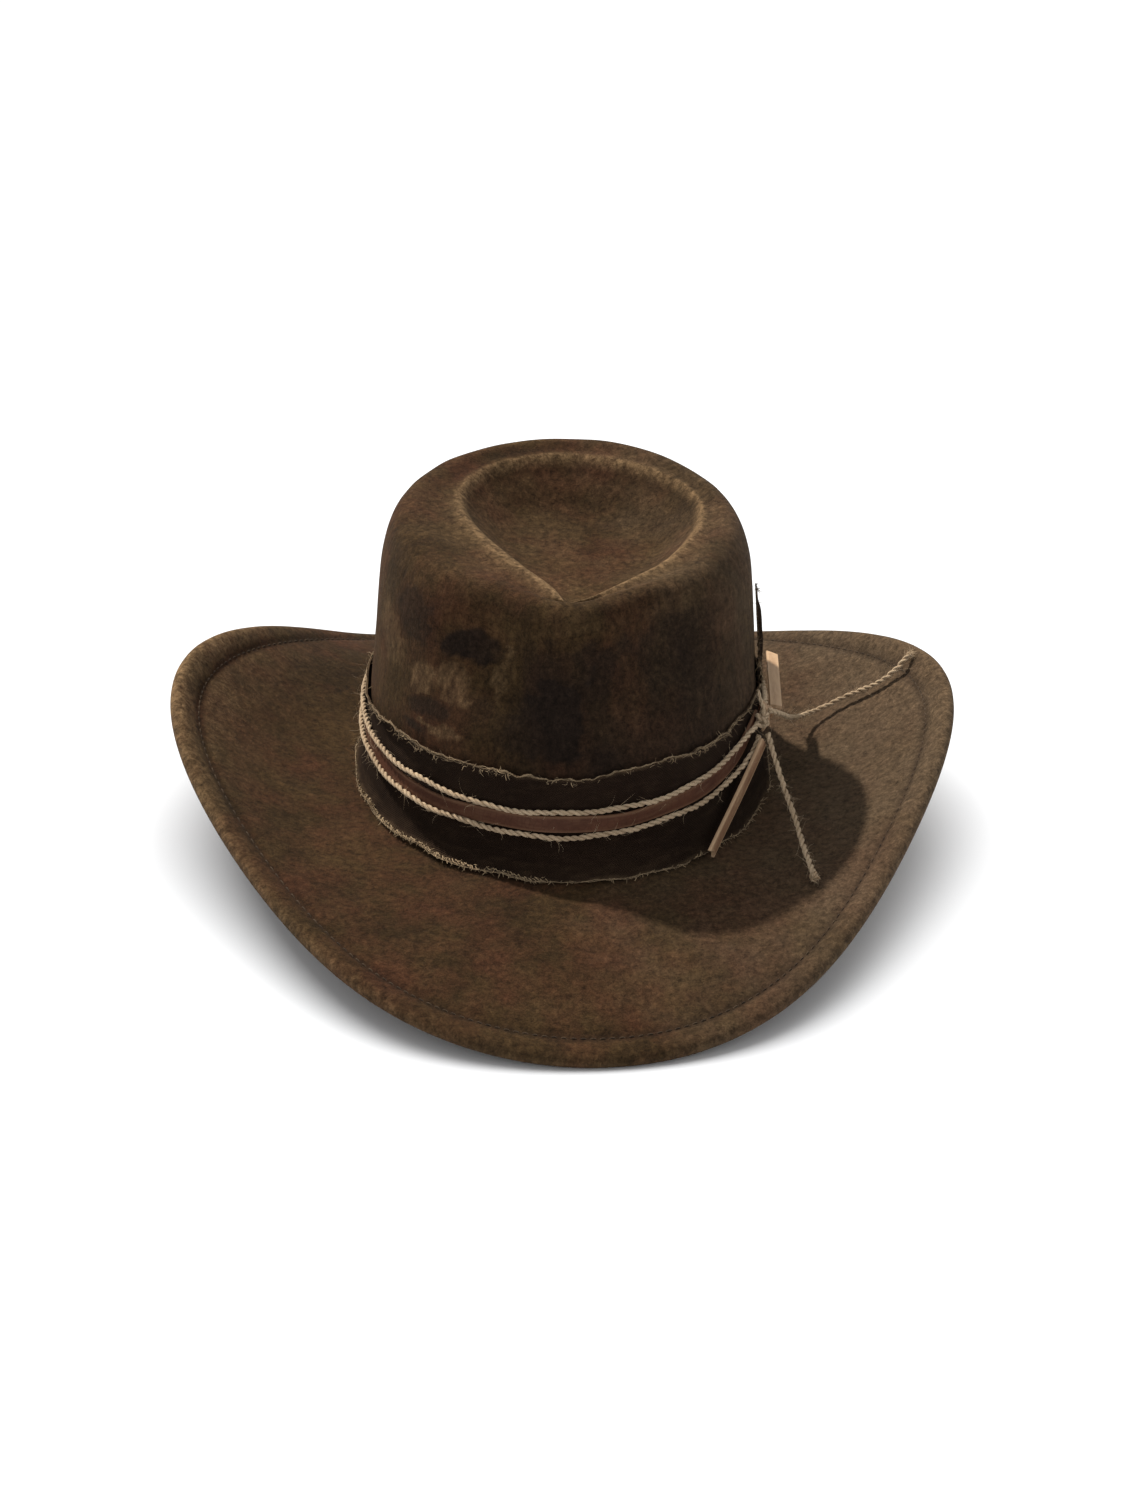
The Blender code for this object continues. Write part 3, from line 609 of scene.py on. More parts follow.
def build_stage():
    """Camera, key light on the hat alone, a soft light on the floor alone, and a curved backdrop."""
    scene = bpy.context.scene
    data = bpy.data.cameras.new("camera")
    data.lens, data.sensor_width, data.clip_start = CAMERA_LENS, SENSOR_WIDTH, NEAR_CLIP
    scene.camera = turned(bpy.data.objects.new("camera", data), *CAMERA_VIEW)

    sun = bpy.data.lights.new("key", "SUN")
    sun.energy, sun.angle, sun.color = SUN_ENERGY, math.radians(SUN_ANGLE), SUN_COLOUR
    key = turned(bpy.data.objects.new("key", sun), *SUN_FROM, 2.0, (0, 0, 0))
    soft = bpy.data.lights.new("floor_light", "AREA")
    soft.energy, soft.size = SOFT_ENERGY, SOFT_SIZE
    overhead = turned(bpy.data.objects.new("floor_light", soft), *SOFT_FROM, 3.0, (0, 0, 0))

    world = bpy.data.worlds.new("studio")
    world.use_nodes = True
    world.node_tree.nodes["Background"].inputs[0].default_value = SKY_COLOUR
    world.node_tree.nodes["Background"].inputs[1].default_value = SKY_STRENGTH
    scene.world = world
    scene.view_settings.view_transform = "Standard"

    soup = Soup()
    half, reach, bend = 12.0, 9.0, 3.0
    curve = [(reach + bend * math.sin(t), bend * (1 - math.cos(t))) for t in arc(0, 90, 14)]
    line = [(-reach, 0.0)] + curve + [(reach + bend, reach)]
    rows = np.array([[(x, y, z) for x in (-half, half)] for y, z in line])
    soup.add(rows, grid_faces(len(line), 2, False))
    look = Look("pale_paper", 0.9, specular=0.1)
    tone = look.mix(look.noise(3.0, 3, 0.5), (0.86, 0.86, 0.86), (0.88, 0.88, 0.88))
    floor = soup.build("floor", look.done(tone, look.bump(look.noise(900, 3, 0.6), 0.05 * MM, 0.3)))
    for vert in floor.data.vertices:
        vert.co.z -= 0.2 * MM
    for light, state in ((key, "EXCLUDE"), (overhead, "INCLUDE")):
        light.light_linking.receiver_collection = bpy.data.collections.new(light.name + "_receivers")
        light.light_linking.receiver_collection.objects.link(floor)
        light.light_linking.receiver_collection.collection_objects[0].light_linking.link_state = state


# ---- felt
def dense_rows(rows, step):
    """Smooth rows between the given ones, about step apart along the widest column."""
    gaps = np.linalg.norm(np.diff(rows, axis=0), axis=2)
    out, keys = [], []
    ends = np.concatenate([[2 * rows[0] - rows[1]], rows, [2 * rows[-1] - rows[-2]]])
    for i in range(len(rows) - 1):
        a, b, c, d = ends[i:i + 4]
        la, lb, lc = (np.maximum(np.linalg.norm(q - p, axis=1), 1e-6)[:, None] ** 0.5
                      for p, q in ((a, b), (b, c), (c, d)))
        m1 = ((b - a) / la - (c - a) / (la + lb) + (c - b) / lb) * lb
        m2 = ((c - b) / lb - (d - b) / (lb + lc) + (d - c) / lc) * lb
        parts = max(2, int(math.ceil(gaps[i].max() / step)))
        for t in np.arange(parts) / parts:
            ease = 3 * t ** 2 - 2 * t ** 3
            leave, arrive = t ** 3 - 2 * t ** 2 + t, t ** 3 - t ** 2
            out.append((1 - ease) * b + leave * m1 + ease * c + arrive * m2)
            keys.append(i + t)
    out.append(rows[-1])
    keys.append(len(rows) - 1.0)
    return np.array(out), np.array(keys)


# places in felt_rows, and the detail of the drawn felt
ROW_EDGE, ROW_GROOVE, ROW_BREAK, ROW_CREST, ROW_LIP = 5, 9, 17, 29, 31
FELT_COLUMNS, FELT_STEP = 400, 2.0 * MM
STITCHES = 270                    # around the brim edge
STITCH_STEPS = 6                  # points from one stitch to the next; the last is the gap


def build_felt(mat, thread):
    """One felt: the folded brim edge, the brim, the wall, the shoulder and the dish."""
    cols = FELT_COLUMNS
    theta = (np.arange(cols) + 0.5) * 2 * math.pi / cols
    mid, key = dense_rows(felt_rows(theta), FELT_STEP)
    deg = np.degrees(theta)[None, :]
    level = key[:, None]
    across = unit(np.gradient(mid, axis=0))
    along = unit(np.roll(mid, -1, 1) - np.roll(mid, 1, 1))
    normal = unit(np.cross(along, across))

    # gentle hand-made unevenness, strongest on the open brim and the crown wall
    soft = ramp(level, ROW_GROOVE, 2) * ramp(level, 35, -3)
    lumps = 0.8 * MM * field(mid, 52 * MM, 1.0) + 0.45 * MM * field(mid, 19 * MM, 2.0)
    under_trim = np.exp(-((mid[..., 2] - BREAK_Z - 26 * MM) / (24 * MM)) ** 4) * ((level > 16.5) & (level < 27))
    mid = mid + normal * (lumps * soft * (1 - under_trim))[..., None]
    # the lip of the dish stands up as a ridge with a hollow outside it, and the front sags
    hollow = 0.8 * (1 - bell(deg, 270, 30)) * bell(level, ROW_LIP - 0.95, 0.4)
    raised = 1.9 * bell(level, ROW_LIP - 0.08, 0.36) - hollow
    mid[..., 2] += raised * MM * (0.6 + 0.4 * bell(deg, 270, 80))
    nose = bell(deg, 268, 24) * ramp(level, ROW_CREST - 3, 3) * ramp(level, 34, -3)
    mid[..., 2] -= 2.0 * MM * nose

    wear_and_light = felt_wear_and_light(mid, level, deg)
    outer = mid + normal * FELT_T / 2
    inner = mid - normal * FELT_T / 2
    rows = len(mid)
    soup = Soup()
    faces = grid_faces(rows, cols, True)
    last = (rows - 1) * cols
    cap = [(last + k, last + (k + 1) % cols, rows * cols) for k in range(cols)]
    layer = rows * cols + 1
    both = faces + cap + [tuple(i + layer for i in f[::-1]) for f in faces + cap]
    both += [(k, k + layer, (k + 1) % cols + layer, (k + 1) % cols) for k in range(cols)]
    top = np.concatenate([outer.reshape(-1, 3), [outer[-1].mean(0)]])
    low = np.concatenate([inner.reshape(-1, 3), [inner[-1].mean(0)]])
    shade = np.concatenate([wear_and_light.ravel(), [0.0]])
    soup.add(np.concatenate([top, low]), both, np.concatenate([shade, shade]))
    obj = soup.build("felt_hat", mat, smooth_deg=None)
    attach(obj, "hat")
    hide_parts("felt_body")
    build_stitches(outer[np.argmin(np.abs(key - ROW_GROOVE))], thread)


def build_stitches(groove, thread):
    """Running stitch along the bottom of the groove that holds the welt."""
    line = curve_through(np.concatenate([groove, groove[:1]]), STITCHES * STITCH_STEPS)
    rise = np.array([-0.25, 0.2, 0.3, 0.2, -0.25]) * MM
    soup = Soup()
    for start in range(0, STITCHES * STITCH_STEPS, STITCH_STEPS):
        dash = line[start:start + len(rise)] + np.outer(rise, [0, 0, 1.0])
        tube(soup, dash, 0.26 * MM, 5, RNG.uniform(-0.3, 0.2))
    hat_piece(soup, "brim_edge_stitches", thread, "band_cloth")


def felt_wear_and_light(mid, level, deg):
    """Lighter where the nap is rubbed and under painted highlights and painted light, darker under painted
    shade and blotches.
    """
    torn = 0.6 * field(mid, 11 * MM, 5.0) + 0.4 * field(mid, 4 * MM, 6.0)
    cloud = field(mid, 24 * MM, 7.0)
    front = bell(deg, 270, 62)
    # ridge, glow and crest: lighter along the dish's lip and the crown's crest, rubbed nap with a painted
    # highlight on these ridges
    ridge = bell(level, ROW_LIP - 0.06, 0.27) * (0.62 + 0.50 * front + 0.35 * torn)
    glow = bell(level, ROW_LIP - 0.35, 0.7) * (0.16 + 0.26 * front)
    # painted shade just inside the lip of the dish
    inside = -0.12 * bell(level, ROW_LIP + 0.42, 0.2)
    crest = 0.10 * bell(level, ROW_CREST, 1.0)
    # bead and wings: lighter toward the left and higher up the wings, rubbed nap with painted light on the left
    # wing
    left = ramp(-mid[..., 0], 0, 150 * MM)
    bead = (0.10 + 0.22 * left) * bell(level, ROW_EDGE + 0.4, 1.5)
    # painted shade in the groove that holds the welt
    groove = -0.55 * bell(level, ROW_GROOVE, 0.5)
    height = ramp(mid[..., 2], BREAK_Z, 38 * MM)
    wings = (0.12 + 0.40 * left) * height ** 2 * (level < ROW_BREAK) * (1 + 0.8 * torn)
    wear_and_light = ridge + glow + inside + crest + bead + groove + wings + 0.10 * np.clip(torn, 0, 1)

    # the crown wall: painted shade where it turns away in front and on the right front, with brushed patches
    z = (mid[..., 2] - BREAK_Z) / MM
    wall = (level > ROW_BREAK) & (level < ROW_CREST + 1)
    wear_and_light = wear_and_light - 0.30 * ramp(cloud, 0.05, 1) * (level > ROW_BREAK)
    reach = 96 + 8 * torn - 10 * ramp(deg, 262, -20) + 9 * ramp(deg, 280, 40)
    shade = np.exp(-(np.abs(deg - 283) / 36) ** 4) * ramp(z, reach, -7) * (0.70 + 0.22 * torn + 0.15 * cloud)
    shade = shade + 0.30 * bell(deg, 318, 16) * ramp(z, 88, -10) * (1 + torn)
    wear_and_light = wear_and_light - np.where(wall, np.clip(shade, 0, 0.8), 0)
    # a paler dish floor, and a painted highlight on the front ridge under the dish's tip
    floor = (level > ROW_LIP + 0.1) * (1 + 0.8 * cloud) * ramp(np.abs(deg - 200), 230, -180)
    wear_and_light = wear_and_light + 0.16 * floor + 0.10 * bell(deg, 268, 10) * bell(z, 98, 9) * wall
    for where, tall, wide, high, amount in PATCHES:
        spot = bell(deg, where, wide) * bell(z, tall, high)
        wear_and_light = wear_and_light + np.where(wall, amount * ramp(spot * 1.7 + torn * 1.1, 0.6, 1 / 3.2), 0)
    # painted shade in the hollow outside the lip at the back
    back = bell(deg, 112, 26) * bell(level, ROW_LIP - 0.9, 0.5)
    return wear_and_light - 0.6 * back * np.clip(1 + torn, 0, 1)


# angle, height, width, tallness and strength of the brushed patches on the crown wall; the light ones on the
# left front are partly painted light
PATCHES = ((236, 86, 10, 8, -0.85), (214, 92, 9, 12, -0.6), (224, 58, 8, 5, -0.7), (220, 68, 5, 9, 0.34),
           (231, 72, 6, 10, 0.30), (262, 62, 13, 16, -0.35), (249, 76, 6, 14, 0.4), (286, 72, 7, 15, 0.30),
           (300, 78, 5, 18, 0.18), (203, 80, 10, 14, 0.15), (228, 52, 9, 4, 0.42), (219, 49, 6, 2, -0.8))


# ---- sheets and straps
def shell(soup, mid, thickness, closed, shade=0.0):
    """Closed sheet of even thickness round a grid of mid-surface points."""
    rows, cols = mid.shape[:2]
    across = unit(np.gradient(mid, axis=0))
    along = np.roll(mid, -1, 1) - np.roll(mid, 1, 1) if closed else np.gradient(mid, axis=1)
    normal = unit(np.cross(unit(along), across))
    faces = grid_faces(rows, cols, closed)
    count = rows * cols
    both = faces + [tuple(i + count for i in f[::-1]) for f in faces]
    last = (rows - 1) * cols
    for k in range(cols if closed else cols - 1):
        m = (k + 1) % cols
        both += [(k, k + count, m + count, m), (last + m, last + m + count, last + k + count, last + k)]
    if not closed:
        for i in range(rows - 1):
            a, b = i * cols, (i + 1) * cols
            c, d = a + cols - 1, b + cols - 1
            both += [(a, b, b + count, a + count), (d, c, c + count, d + count)]
    uv = pairs(lengths(mid[:, 0]), lengths(mid[rows // 2]))[..., ::-1].reshape(-1, 2)
    tone = np.broadcast_to(shade, (rows, cols)).ravel()
    half = normal * thickness / 2
    sides = np.concatenate([mid + half, mid - half])
    soup.add(sides, both, np.concatenate([tone, tone]), np.concatenate([uv, uv]))


def strap(soup, path, facing, width, thick, cuts=(None, None), cup=0.0, shade=0.0):
    """Flat leather strip; a cut moves each end along the strip by where it is across it."""
    path = np.asarray(path)
    count = len(path)
    ahead = unit(np.gradient(path, axis=0))
    facing = np.broadcast_to(np.asarray(facing, dtype=float), path.shape)
    side = unit(np.cross(facing, ahead))
    out = np.cross(ahead, side)
    run = lengths(path)
    u = np.array([-1, -0.94, -0.6, -0.2, 0.2, 0.6, 0.94, 1])
    half = np.where(np.abs(u) > 0.97, 0.22, 0.5) * thick
    us, hs = np.concatenate([u, u[::-1]]), np.concatenate([half, -half[::-1]])
    verts = (path[:, None] + side[:, None] * (us * np.reshape(width, (-1, 1)) / 2)[..., None]
             + out[:, None] * (hs + cup * us ** 2)[None, :, None])
    tone = np.tile(np.where(np.abs(us) > 0.9, 0.9, 0.0), (count, 1)) + shade
    for cut, reach, sign in ((cuts[0], run, -1), (cuts[1], run[-1] - run, 1)):
        if cut is not None:
            near = np.clip(1 - reach / (3.5 * MM), 0, 1)
            verts += ahead[:, None] * (cut(us)[None, :] * near[:, None] * sign)[..., None]
            tone += 0.8 * (near > 0.9)[:, None]
    ring = len(us)
    faces = [f[::-1] for f in grid_faces(count, ring, True)]
    end = (count - 1) * ring
    for k in range(len(u) - 1):
        m = ring - 1 - k
        faces += [(k, k + 1, m - 1, m), (end + m, end + m - 1, end + k + 1, end + k)]
    soup.add(verts, faces, tone.ravel(), pairs(run, us * np.mean(width) / 2))


def hat_piece(soup, name, mat, slot, *nodes, body="hat", smooth_deg=50):
    """Finished piece on its body, standing for the CAD nodes named; its slot is not used."""
    obj = soup.build(name, mat, smooth_deg)
    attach(obj, body)
    if nodes:
        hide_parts(*nodes)
    return obj


# ---- cloth band
def band_top(theta):
    """Height of the upper raw edge above the break."""
    ripple = np.sin(5 * theta + 1.0) + 0.6 * np.sin(9 * theta)
    rag = 0.35 * np.sin(31 * theta + 2 * np.sin(7 * theta)) + 0.2 * np.sin(73 * theta + 1.3)
    return BAND_TOP + (1.1 * ripple + rag) * MM + BAND_RISE * bump_at(theta, KNOT_DEG, 30)


def band_lip(theta):
    """How far the loose upper edge curls away from the crown."""
    return (0.25 + 2.3 * bump_at(theta, 214, 30) + 0.9 * bump_at(theta, 300, 16) + 0.6 * bump_at(theta, 80, 35)
            + 0.25 * np.sin(23 * theta + 0.7)) * MM


def band_hem(theta):
    """Lower edge: height above the break and distance out, lifting a little here and there."""
    worn = bump_at(theta, 222, 26)
    lift = 0.45 * np.sin(13 * theta + 1.1) + 0.3 * np.sin(29 * theta) + 0.9 * worn
    return (2.3 + np.maximum(lift, -0.2)) * MM, (4.7 + 0.5 * np.sin(17 * theta + 0.4) + worn) * MM


def build_band(cloth, thread):
    """Cloth strip round the crown, turned out at its foot, with loose threads on both edges."""
    theta = np.linspace(0, 2 * math.pi, 480, endpoint=False)
    top, lip = band_top(theta), band_lip(theta)
    low_z, low_off = band_hem(theta)
    rows, tone = [], []
    foot = ((low_z, low_off), (low_z + 0.9 * MM, 3.5 * MM), (4.6 * MM, 2.7 * MM), (BAND_FOOT, 2.05 * MM))
    for z, off in foot:
        rows.append(crown_point(theta, z, off))
        tone.append(np.full(len(theta), 0.45 if len(rows) == 1 else 0.05))
    for share in np.linspace(0.06, 1, 22):
        z = BAND_FOOT + (top - BAND_FOOT) * share
        curl = lip * ramp(top - z, 6 * MM, -6 * MM) ** 1.6
        rows.append(crown_point(theta, z, 1.95 * MM + curl))
        tone.append(np.full(len(theta), 0.5 if share > 0.99 else 0.0))
    mid = np.array(rows)
    fold = 0.22 * MM * np.maximum(field(mid * [1, 1, 2.2], 16 * MM, 9.0), -0.3)
    soup = Soup()
    shell(soup, mid + outward(mid) * fold[..., None], 0.8 * MM, True, np.array(tone))
    band = hat_piece(soup, "cloth_band", cloth, "band_cloth", "fabric_band")

    soup = Soup()
    for start, end, lift, wander, size in RAVELS_TOP:
        t = arc(start, end, int((end - start) * 4))
        jig, fine = jitter(t, 30, lift + size, 3.0), jitter(t, 95, size, 8.0)
        z = band_top(t) + (lift + wander * jig + 0.3 * fine) * MM
        off = 2.45 * MM + band_lip(t) * np.clip(1 + lift / 6, 0, 1) + 0.3 * np.roll(jig, 40) * MM
        tube(soup, crown_point(t, z, off), size * (1 + 0.35 * fine) * MM, 5, 0.35 * jig + 0.1)
    for start, end, out, wander, size in RAVELS_HEM:
        t = arc(start, end, int((end - start) * 4))
        jig, fine = jitter(t, 32, out, 4.0), jitter(t, 110, out, 7.0)
        z, off = band_hem(t)
        path = crown_point(t, z + (0.45 + 0.5 * jig) * MM, off + (out + wander * fine) * MM)
        tube(soup, path, size * (1 + 0.35 * fine) * MM, 5, 0.35 * jig + 0.1)
    fringe(soup)
    threads = hat_piece(soup, "band_frayed_threads", thread, "band_cloth")


def jitter(t, pace, shift, seed):
    """Smooth wandering of a thread along its angle."""
    return field(np.stack([t * pace, 0 * t, 0 * t + shift], -1), 1.0, seed)


# loose threads along the raw edges: start and end angle, lift or reach, wander and radius
RAVELS_TOP = ((0, 359.5, 0.0, 0.45, 0.10), (196, 262, 0.5, 0.9, 0.12), (246, 318, 0.25, 0.7, 0.12),
              (208, 236, -0.7, 0.9, 0.10), (300, 342, -0.8, 0.7, 0.11), (20, 70, -0.6, 0.8, 0.12),
              (110, 170, 0.3, 0.8, 0.12))
RAVELS_HEM = ((150, 262, 0.5, 0.4, 0.17), (196, 300, 1.0, 0.6, 0.12), (268, 334, 0.4, 0.5, 0.12),
              (340, 470, 0.4, 0.5, 0.13), (60, 140, 0.9, 0.6, 0.11))


def loose_end(soup, root, way, length, thick, curl, shade, steps=5):
    """Hair with its length and thickness in mm and its tone drawn from ranges."""
    hair(soup, root, way, RNG.uniform(*length) * MM, RNG.uniform(*thick) * MM, curl, RNG.uniform(*shade), steps)


def fringe(soup):
    """Thread ends along both raw edges of the band, thicker where it is worn."""
    def lean(root, share):
        out = outward(root)
        return out + np.array([-out[1], out[0], 0.0]) * share

    for deg in np.arange(0, 360, 0.42):
        t = np.radians([deg + RNG.uniform(-0.15, 0.15)])
        busy = bump_at(t, 222, 40)[0] + 0.9 * bump_at(t, 324, 12)[0] + 0.35 + 0.3 * math.sin(9 * t[0])
        if RNG.uniform() > busy:
            continue
        z, off = band_hem(t)
        root = crown_point(t, z + 0.25 * MM, off - 0.4 * MM)[0]
        way = lean(root, 0.8) + RNG.normal(size=3) * 0.35 + [0, 0, 0.15]
        loose_end(soup, root, way, (1.5, 3.6), (0.12, 0.22), 1.0, (-0.2, 0.8))
    for deg in np.arange(192, 262, 0.33):
        t = np.radians([deg])
        z, off = band_hem(t)
        root = crown_point(t, z + RNG.uniform(0.2, 1.6) * MM, off - RNG.uniform(0, 0.8) * MM)[0]
        way = lean(root, 0.9) + RNG.normal(size=3) * 0.25 + [0, 0, RNG.uniform(-0.2, 0.5)]
        loose_end(soup, root, way, (1.6, 3.2), (0.13, 0.21), 0.6, (0.2, 1.0), 4)
    for _ in range(1000):
        t = np.array([RNG.uniform(0, 2 * math.pi)])
        waves = math.sin(11 * t[0] + 1.0) * math.sin(4 * t[0] + 1)
        clump = 0.12 + 1.1 * max(0.0, waves) + 0.7 * bump_at(t, 226, 16)[0]
        clump += 0.6 * bump_at(t, 309, 4)[0] + 0.6 * bump_at(t, 325, 8)[0]
        if RNG.uniform() > clump:
            continue
        root = crown_point(t, band_top(t) - RNG.uniform(-0.2, 1.4) * MM, 2.4 * MM + band_lip(t))[0]
        way = np.array([0, 0, RNG.uniform(-1.2, 1.0)]) + outward(root) * RNG.uniform(0.1, 0.7)
        way = way + RNG.normal(size=3) * 0.6
        loose_end(soup, root, way, (1.2, 4.0), (0.08, 0.15), 1.2, (-0.2, 0.8))


def build_flap(cloth, thread):
    """Torn end of the band cloth standing up against the side of the crown."""
    cols, rows = 26, 44
    share = np.linspace(0, 1, cols)
    theta = np.radians(FLAP_START + FLAP_TURN * share)
    bulge = 32 * np.sin(np.linspace(0.05, math.pi, cols)) ** 2
    peak = (56 + bulge + 1.6 * np.sin(23 * share) + 1.1 * np.sin(51 * share)) * MM
    base = band_top(theta).max() + 0.4 * MM
    grid, tone = [], []
    for v in np.linspace(0, 1, rows):
        z = base + (peak - base) * v
        off = (2.7 + 0.8 * math.sin(math.pi * v) + 0.3 * v) * MM
        ripple = 0.6 * np.sin(9 * share + 7 * v) + 0.5 * np.sin(17 * v + 3 * share)
        lean = theta + np.radians(0.35 * np.sin(11 * v) + 0.2 * np.sin(29 * v)) * (1 - 2 * share)
        grid.append(crown_point(lean, z, off + np.maximum(ripple, -0.3) * MM * 0.8))
        tone.append(0.55 * np.clip(np.abs(2 * share - 1) * 4 - 3, 0, 1) + (0.5 if v > 0.96 else 0.0))
    grid = np.array(grid)
    soup = Soup()
    shell(soup, grid, 0.7 * MM, False, np.array(tone))
    flap = hat_piece(soup, "torn_cloth_end", cloth, "band_cloth", "fabric_flap")
    soup = Soup()
    for _ in range(190):
        i, k = int(RNG.integers(0, rows)), int(RNG.choice([0, cols - 1]))
        if RNG.uniform() < 0.3:
            i, k = rows - 1, int(RNG.integers(0, cols))
        root = grid[i, k]
        way = outward(root) * RNG.uniform(0.1, 0.9) + RNG.normal(size=3) * 0.6 + [0, 0, 0.2]
        # darker tones than the band's threads: painted shade on this side of the crown
        loose_end(soup, root, way, (1.0, 3.6), (0.07, 0.15), 0.9, (-0.5, 0.25))
    edge = grid[:, 0] + unit(grid[:, 0] - [0, CROWN_Y, 0]) * 0.4 * MM
    edge = edge + 0.35 * MM * np.stack([field(edge, 3 * MM, s) for s in (1.0, 2.0, 3.0)], -1)
    tube(soup, curve_through(edge, 200), 0.2 * MM, 5, 0.3)
    threads = hat_piece(soup, "torn_end_threads", thread, "band_cloth")


# ---- leather
def strap_dip(theta):
    """Where the thong has slipped down and shows under the lower twine."""
    return bump_at(theta, 216, 24)


def build_leather(mat, pale):
    """Thong round the crown, its hanging end, its end on the brim and its knot."""
    theta = arc(THONG_DEG + 3.0, THONG_DEG + 357.0, 420)
    dip = strap_dip(theta)
    wobble = 0.35 * np.sin(6 * theta + 0.4) + 0.2 * np.sin(15 * theta)
    z = strap_height(theta) + (wobble - 2.4 * dip) * MM
    path = crown_point(theta, z, STRAP_OFF - (0.15 + 0.35 * dip) * MM)
    facing = unit(np.stack([path[:, 0] / HEAD_A ** 2, (path[:, 1] - CROWN_Y) / HEAD_B ** 2, 0 * theta], -1))
    facing[:, 2] = 0.10 * np.sin(7 * theta + 1) + 0.12 * dip
    soup = Soup()
    strap(soup, path, facing, STRAP_W + 0.25 * np.sin(11 * theta) * MM, STRAP_T, cup=-0.12 * MM)
    hat_piece(soup, "leather_thong", mat, "thong_leather", "leather_strap")

    t = np.linspace(0, 1, 40)
    ends = crown_point(np.radians(HANG_DEG), np.array(HANG_Z) * MM, HANG_OFF)
    facing = unit(np.cross(ends[1] - ends[0], HANG_ACROSS))
    path = ends[0] + (ends[1] - ends[0]) * t[:, None] + facing * (0.3 * np.sin(4.2 * t) * MM)[:, None]
    soup = Soup()
    strap(soup, path, facing, TAIL_W, TAIL_T, (None, lambda u: (np.abs(u) - 0.45) * 1.5 * MM), -0.12 * MM)
    hat_piece(soup, "thong_tail_front", pale, "thong_leather", "leather_tail_front", body="leather_front")

    start, end = from_break(BACK_TAIL)
    path = start + (end - start) * t[:, None]
    path[:, 2] += (0.35 * np.sin(3.0 * t) + 0.12 * np.sin(9 * t)) * MM
    soup = Soup()
    # shade 0.9 pales the whole back tail: painted sunlight on it
    strap(soup, path, (0.15, 0, 1.0), TAIL_W, TAIL_T, (None, lambda u: TAIL_T * u), -0.15 * MM, shade=0.9)
    hat_piece(soup, "thong_tail_back", pale, "thong_leather", "leather_tail_back", body="leather_back")

    soup = Soup()
    p, side, up, out = knot_axes(THONG_DEG, THONG_KNOT_OFF, 0.0)
    for tilt, size, wide, lean in ((0.35, 2.0, 4.6, -0.7), (-0.45, 2.35, 3.6, 0.9)):
        turn = np.linspace(0.2, 2 * math.pi + 0.5, 34)
        axis_up = up * math.cos(tilt) + side * math.sin(tilt)
        ring = np.outer(np.sin(turn), axis_up) * 0.92 + np.outer(np.cos(turn), out)
        ring = p + (ring * size + np.outer(np.linspace(-0.5, 0.5, 34) + lean, side)) * MM
        strap(soup, ring, unit(ring - p), wide * MM, 1.0 * MM, cup=-0.2 * MM)
    axes = knot_axes(335.6, 8.6 * MM, 1.0 * MM)
    line = from_knot(axes, ((6.0, -2.6, 0.6), (3.6, -0.2, 0.5), (0.5, 0.6, 0.2),
                            (-3.0, 0.2, -0.4), (-6.4, -1.6, -1.0)))
    strap(soup, curve_through(line, 24), axes[3], 3.0 * MM, 1.0 * MM,
          (None, lambda u: 0.9 * MM * u), -0.2 * MM, 0.5)
    hat_piece(soup, "thong_knot", pale, "thong_leather", "leather_knot")


def crown_axes(deg, z, off):
    """Point off the crown, with the level, upward and outward directions there."""
    theta = np.radians([deg])
    p = crown_point(theta, z, off)[0]
    out = unit(crown_point(theta, z, off + MM)[0] - p)
    side = unit(np.cross([0, 0, 1.0], out))
    return p, side, np.cross(out, side), out


def knot_axes(deg, off, lift):
    """The same at a knot, placed from the height of the thong."""
    return crown_axes(deg, strap_height(np.radians([deg])) + lift, off)


def from_knot(axes, steps):
    """Points at steps in mm up, out and sideways from a knot's middle."""
    p, side, up, out = axes
    return p + np.array(steps) @ np.array([up, out, side]) * MM


# ---- twine
def twine_line(theta, side):
    """Middle of the upper (1) or lower (-1) strand; both run together into the knot."""
    turn = knot_turn(theta)
    spread = TWINE_SPREAD - 3.2 * MM * bell(turn, 0, 3.5)
    off = TWINE_OFF + 3.4 * MM * bell(turn, 0, 11) + 0.55 * MM * strap_dip(theta)
    sway = (0.35 * np.sin(8 * theta + side) + 0.25 * np.sin(19 * theta + 2 * side)) * MM
    return crown_point(theta, strap_height(theta) + side * spread + sway, off)


def overhand(centre, axes, half, count=90):
    """Closed line of a tight overhand knot."""
    t = np.linspace(0, 2 * math.pi, count)
    x, y = (np.sin(t) + 2 * np.sin(2 * t)) / 3, (np.cos(t) - 2 * np.cos(2 * t)) / 3
    return centre + (np.stack([x, y, -np.sin(3 * t)], -1) * half) @ np.array(axes)


